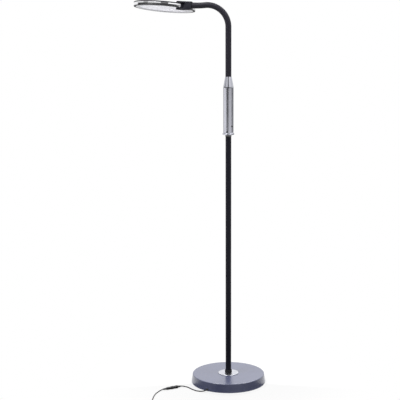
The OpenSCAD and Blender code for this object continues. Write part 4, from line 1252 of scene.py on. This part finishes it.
class LAMP_OT_stage(bpy.types.Operator):
    """Camera, white surroundings, floor that keeps the shadow, cards for the reflections, and lamps"""

    bl_idname = "lamp.make_stage"
    bl_label = "Stage"

    # Each card has its first and last angle round the lamp, its lowest and highest height, and its grey.
    CARDS = (
        (-205, -20, 0.78, 1.75, 0.05),
        (155, 215, 0.02, 0.78, 1.35),
        (-132, -98, 0.02, 0.78, 0.06),
        (-98, -76, 0.02, 0.78, 0.42),
        (-76, -26, 0.02, 0.78, 0.95),
        (-26, 0, 0.02, 1.0, 0.5),
        (0, 45, 0.02, 1.0, 0.2),
        (45, 150, 0.02, 1.0, 0.7),
        (-174, -154, 1.75, 4.6, 0.45),
        (-104, -72, 1.75, 4.6, 0.2),
        (-75, -35, 1.9, 4.6, 1.3),
    )
    CARD_DISTANCE = 6.0
    # Each lamp has its name, its place, its size and its power in watts.
    LAMPS = (
        ("Key", (-1.2, -0.7, 2.9), 1.4, 60.0),
        ("Fill", (1.6, -0.4, 2.6), 1.6, 30.0),
        ("Back", (0.3, 2.0, 2.8), 1.6, 50.0),
    )
    FLOOR_SIZE = 60.0

    def execute(self, context):
        self.camera()
        self.surroundings()
        self.floor()
        self.cards()
        self.lamps()
        context.scene.view_settings.view_transform = "Standard"
        return {"FINISHED"}

    def camera(self):
        data = bpy.data.cameras.new("View")
        data.sensor_width = 36.0
        data.lens = 106.2
        data.shift_x = -0.071
        eye = linked("View", data)
        eye.location = (0.0, -3.854, 1.297)
        eye.rotation_euler = (math.radians(90 - 9.86), 0.0, 0.0)
        bpy.context.scene.camera = eye

    def surroundings(self):
        """White for the rays that see it, and an even light for the rest."""
        world = bpy.data.worlds.new("Surroundings")
        world.use_nodes = True
        bpy.context.scene.world = world
        tree = world.node_tree
        level = add(tree, "ShaderNodeMapRange", {"Value": seen_rays(tree), "To Min": 0.55, "To Max": 1.0})
        back = {"Color": (1, 1, 1, 1), "Strength": level.outputs["Result"]}
        feed(tree, tree.nodes["Background"], back)

    def floor(self):
        """Floor: its own shading near the lamp, plain white further out."""
        material = bare_material("floor white")
        tree = material.node_tree
        shaded = add(tree, "ShaderNodeBsdfDiffuse", {"Color": (0.8, 0.8, 0.8, 1)})
        white = add(tree, "ShaderNodeEmission", {"Color": (1, 1, 1, 1)})
        here = tree.nodes.new("ShaderNodeTexCoord").outputs["Object"]
        away = add(tree, "ShaderNodeVectorMath", {0: here}, operation="LENGTH").outputs["Value"]
        inputs = {"Value": away, "From Min": 0.12, "From Max": 0.5, "To Min": 0.72, "To Max": 1.0}
        share = add(tree, "ShaderNodeMapRange", inputs, interpolation_type="SMOOTHSTEP")
        share = calculate(tree, "MULTIPLY", share.outputs["Result"], seen_rays(tree))
        inputs = {"Fac": share, 1: shaded.outputs["BSDF"], 2: white.outputs["Emission"]}
        mix = add(tree, "ShaderNodeMixShader", inputs)
        feed(tree, tree.nodes["Material Output"], {"Surface": mix.outputs["Shader"]})
        mesh = bpy.data.meshes.new("Floor")
        s = self.FLOOR_SIZE
        mesh.from_pydata([(-s, -s, 0), (s, -s, 0), (s, s, 0), (-s, s, 0)], [], [(0, 1, 2, 3)])
        mesh.materials.append(material)
        linked("Floor", mesh)

    def cards(self):
        """Curved cards round the lamp, seen only in reflections, as a studio's surroundings, and a dark
        one on the floor in front of the base, which also darkens what faces it."""
        for number, (start, end, low, high, grey) in enumerate(self.CARDS):
            row = self.arc(start, end, 25) * self.CARD_DISTANCE
            points = np.stack([row + [0, 0, low], row + [0, 0, high]], 0)
            self.card(f"Card_{number}", points, grey, False)
        row = self.arc(-170, -10, 41)
        points = np.stack([0.13 * row, 0.8 * row], 0) + [0, 0, 0.3 * MM]
        self.card("Card_floor", points, 0.06, True)

    def arc(self, start, end, count):
        """Points on a circle of radius 1 round the lamp, between two angles in degrees."""
        angle = np.radians(np.linspace(start, end, count))
        return np.stack([np.cos(angle), np.sin(angle), 0 * angle], 1)

    def card(self, name, points, grey, lights):
        """One card of a plain grey. It shows in reflections; one that lights also darkens what faces it."""
        material = bare_material(f"grey of {name}")
        tree = material.node_tree
        light = add(tree, "ShaderNodeEmission", {"Color": (grey, grey, grey, 1)})
        feed(tree, tree.nodes["Material Output"], {"Surface": light.outputs["Emission"]})
        card = build(name, [grid(points, wrap_columns=False)], material, closed=False)
        card.visible_camera = False
        card.visible_diffuse = lights
        card.visible_shadow = False

    def lamps(self):
        """Round lamps above, each turned towards the middle of the pole."""
        for name, place, size, watts in self.LAMPS:
            data = bpy.data.lights.new(name, "AREA")
            data.shape = "DISK"
            data.size = size
            data.energy = watts
            place = np.array(place)
            backwards = place - [0, 0, 0.6]
            turn = axes_frame(place, backwards, np.array([1.0, 0.0, 0.0]))
            linked(name, data).matrix_world = Matrix(turn.tolist())


# Add-on ----------------------------------------------------------------------------------

PIECES = (
    LAMP_OT_base,
    LAMP_OT_foot,
    LAMP_OT_pole,
    LAMP_OT_handle,
    LAMP_OT_neck,
    LAMP_OT_fork,
    LAMP_OT_head,
    LAMP_OT_cord,
    LAMP_OT_fittings,
)


class LAMP_PT_panel(bpy.types.Panel):
    """Sizes, colours and pieces of the lamp"""

    bl_label = "Floor Lamp"
    bl_idname = "LAMP_PT_panel"
    bl_space_type = "VIEW_3D"
    bl_region_type = "UI"
    bl_category = "Floor Lamp"

    def draw(self, context):
        scene = context.scene
        for settings in (scene.lamp_colours, scene.lamp_detail, scene.lamp_cord_sizes):
            box = self.layout.box()
            for name in settings.__annotations__:
                box.prop(settings, name)
        for piece in (*PIECES, LAMP_OT_stage):
            self.layout.operator(piece.bl_idname)


CLASSES = (LampColours, LampDetail, CordSizes, *PIECES, LAMP_OT_stage, LAMP_PT_panel)


def register():
    for cls in CLASSES:
        bpy.utils.register_class(cls)
    bpy.types.Scene.lamp_colours = PointerProperty(type=LampColours)
    bpy.types.Scene.lamp_detail = PointerProperty(type=LampDetail)
    bpy.types.Scene.lamp_cord_sizes = PointerProperty(type=CordSizes)


def unregister():
    del bpy.types.Scene.lamp_colours
    del bpy.types.Scene.lamp_detail
    del bpy.types.Scene.lamp_cord_sizes
    for cls in reversed(CLASSES):
        bpy.utils.unregister_class(cls)


def main():
    register()
    bpy.ops.lamp.make_stage()
    bpy.ops.lamp.make_base()
    bpy.ops.lamp.make_foot()
    bpy.ops.lamp.make_pole()
    bpy.ops.lamp.make_handle()
    bpy.ops.lamp.make_neck()
    bpy.ops.lamp.make_fork()
    bpy.ops.lamp.make_head()
    bpy.ops.lamp.make_cord()
    bpy.ops.lamp.finish_fittings()


if __name__ == "__main__":
    main()
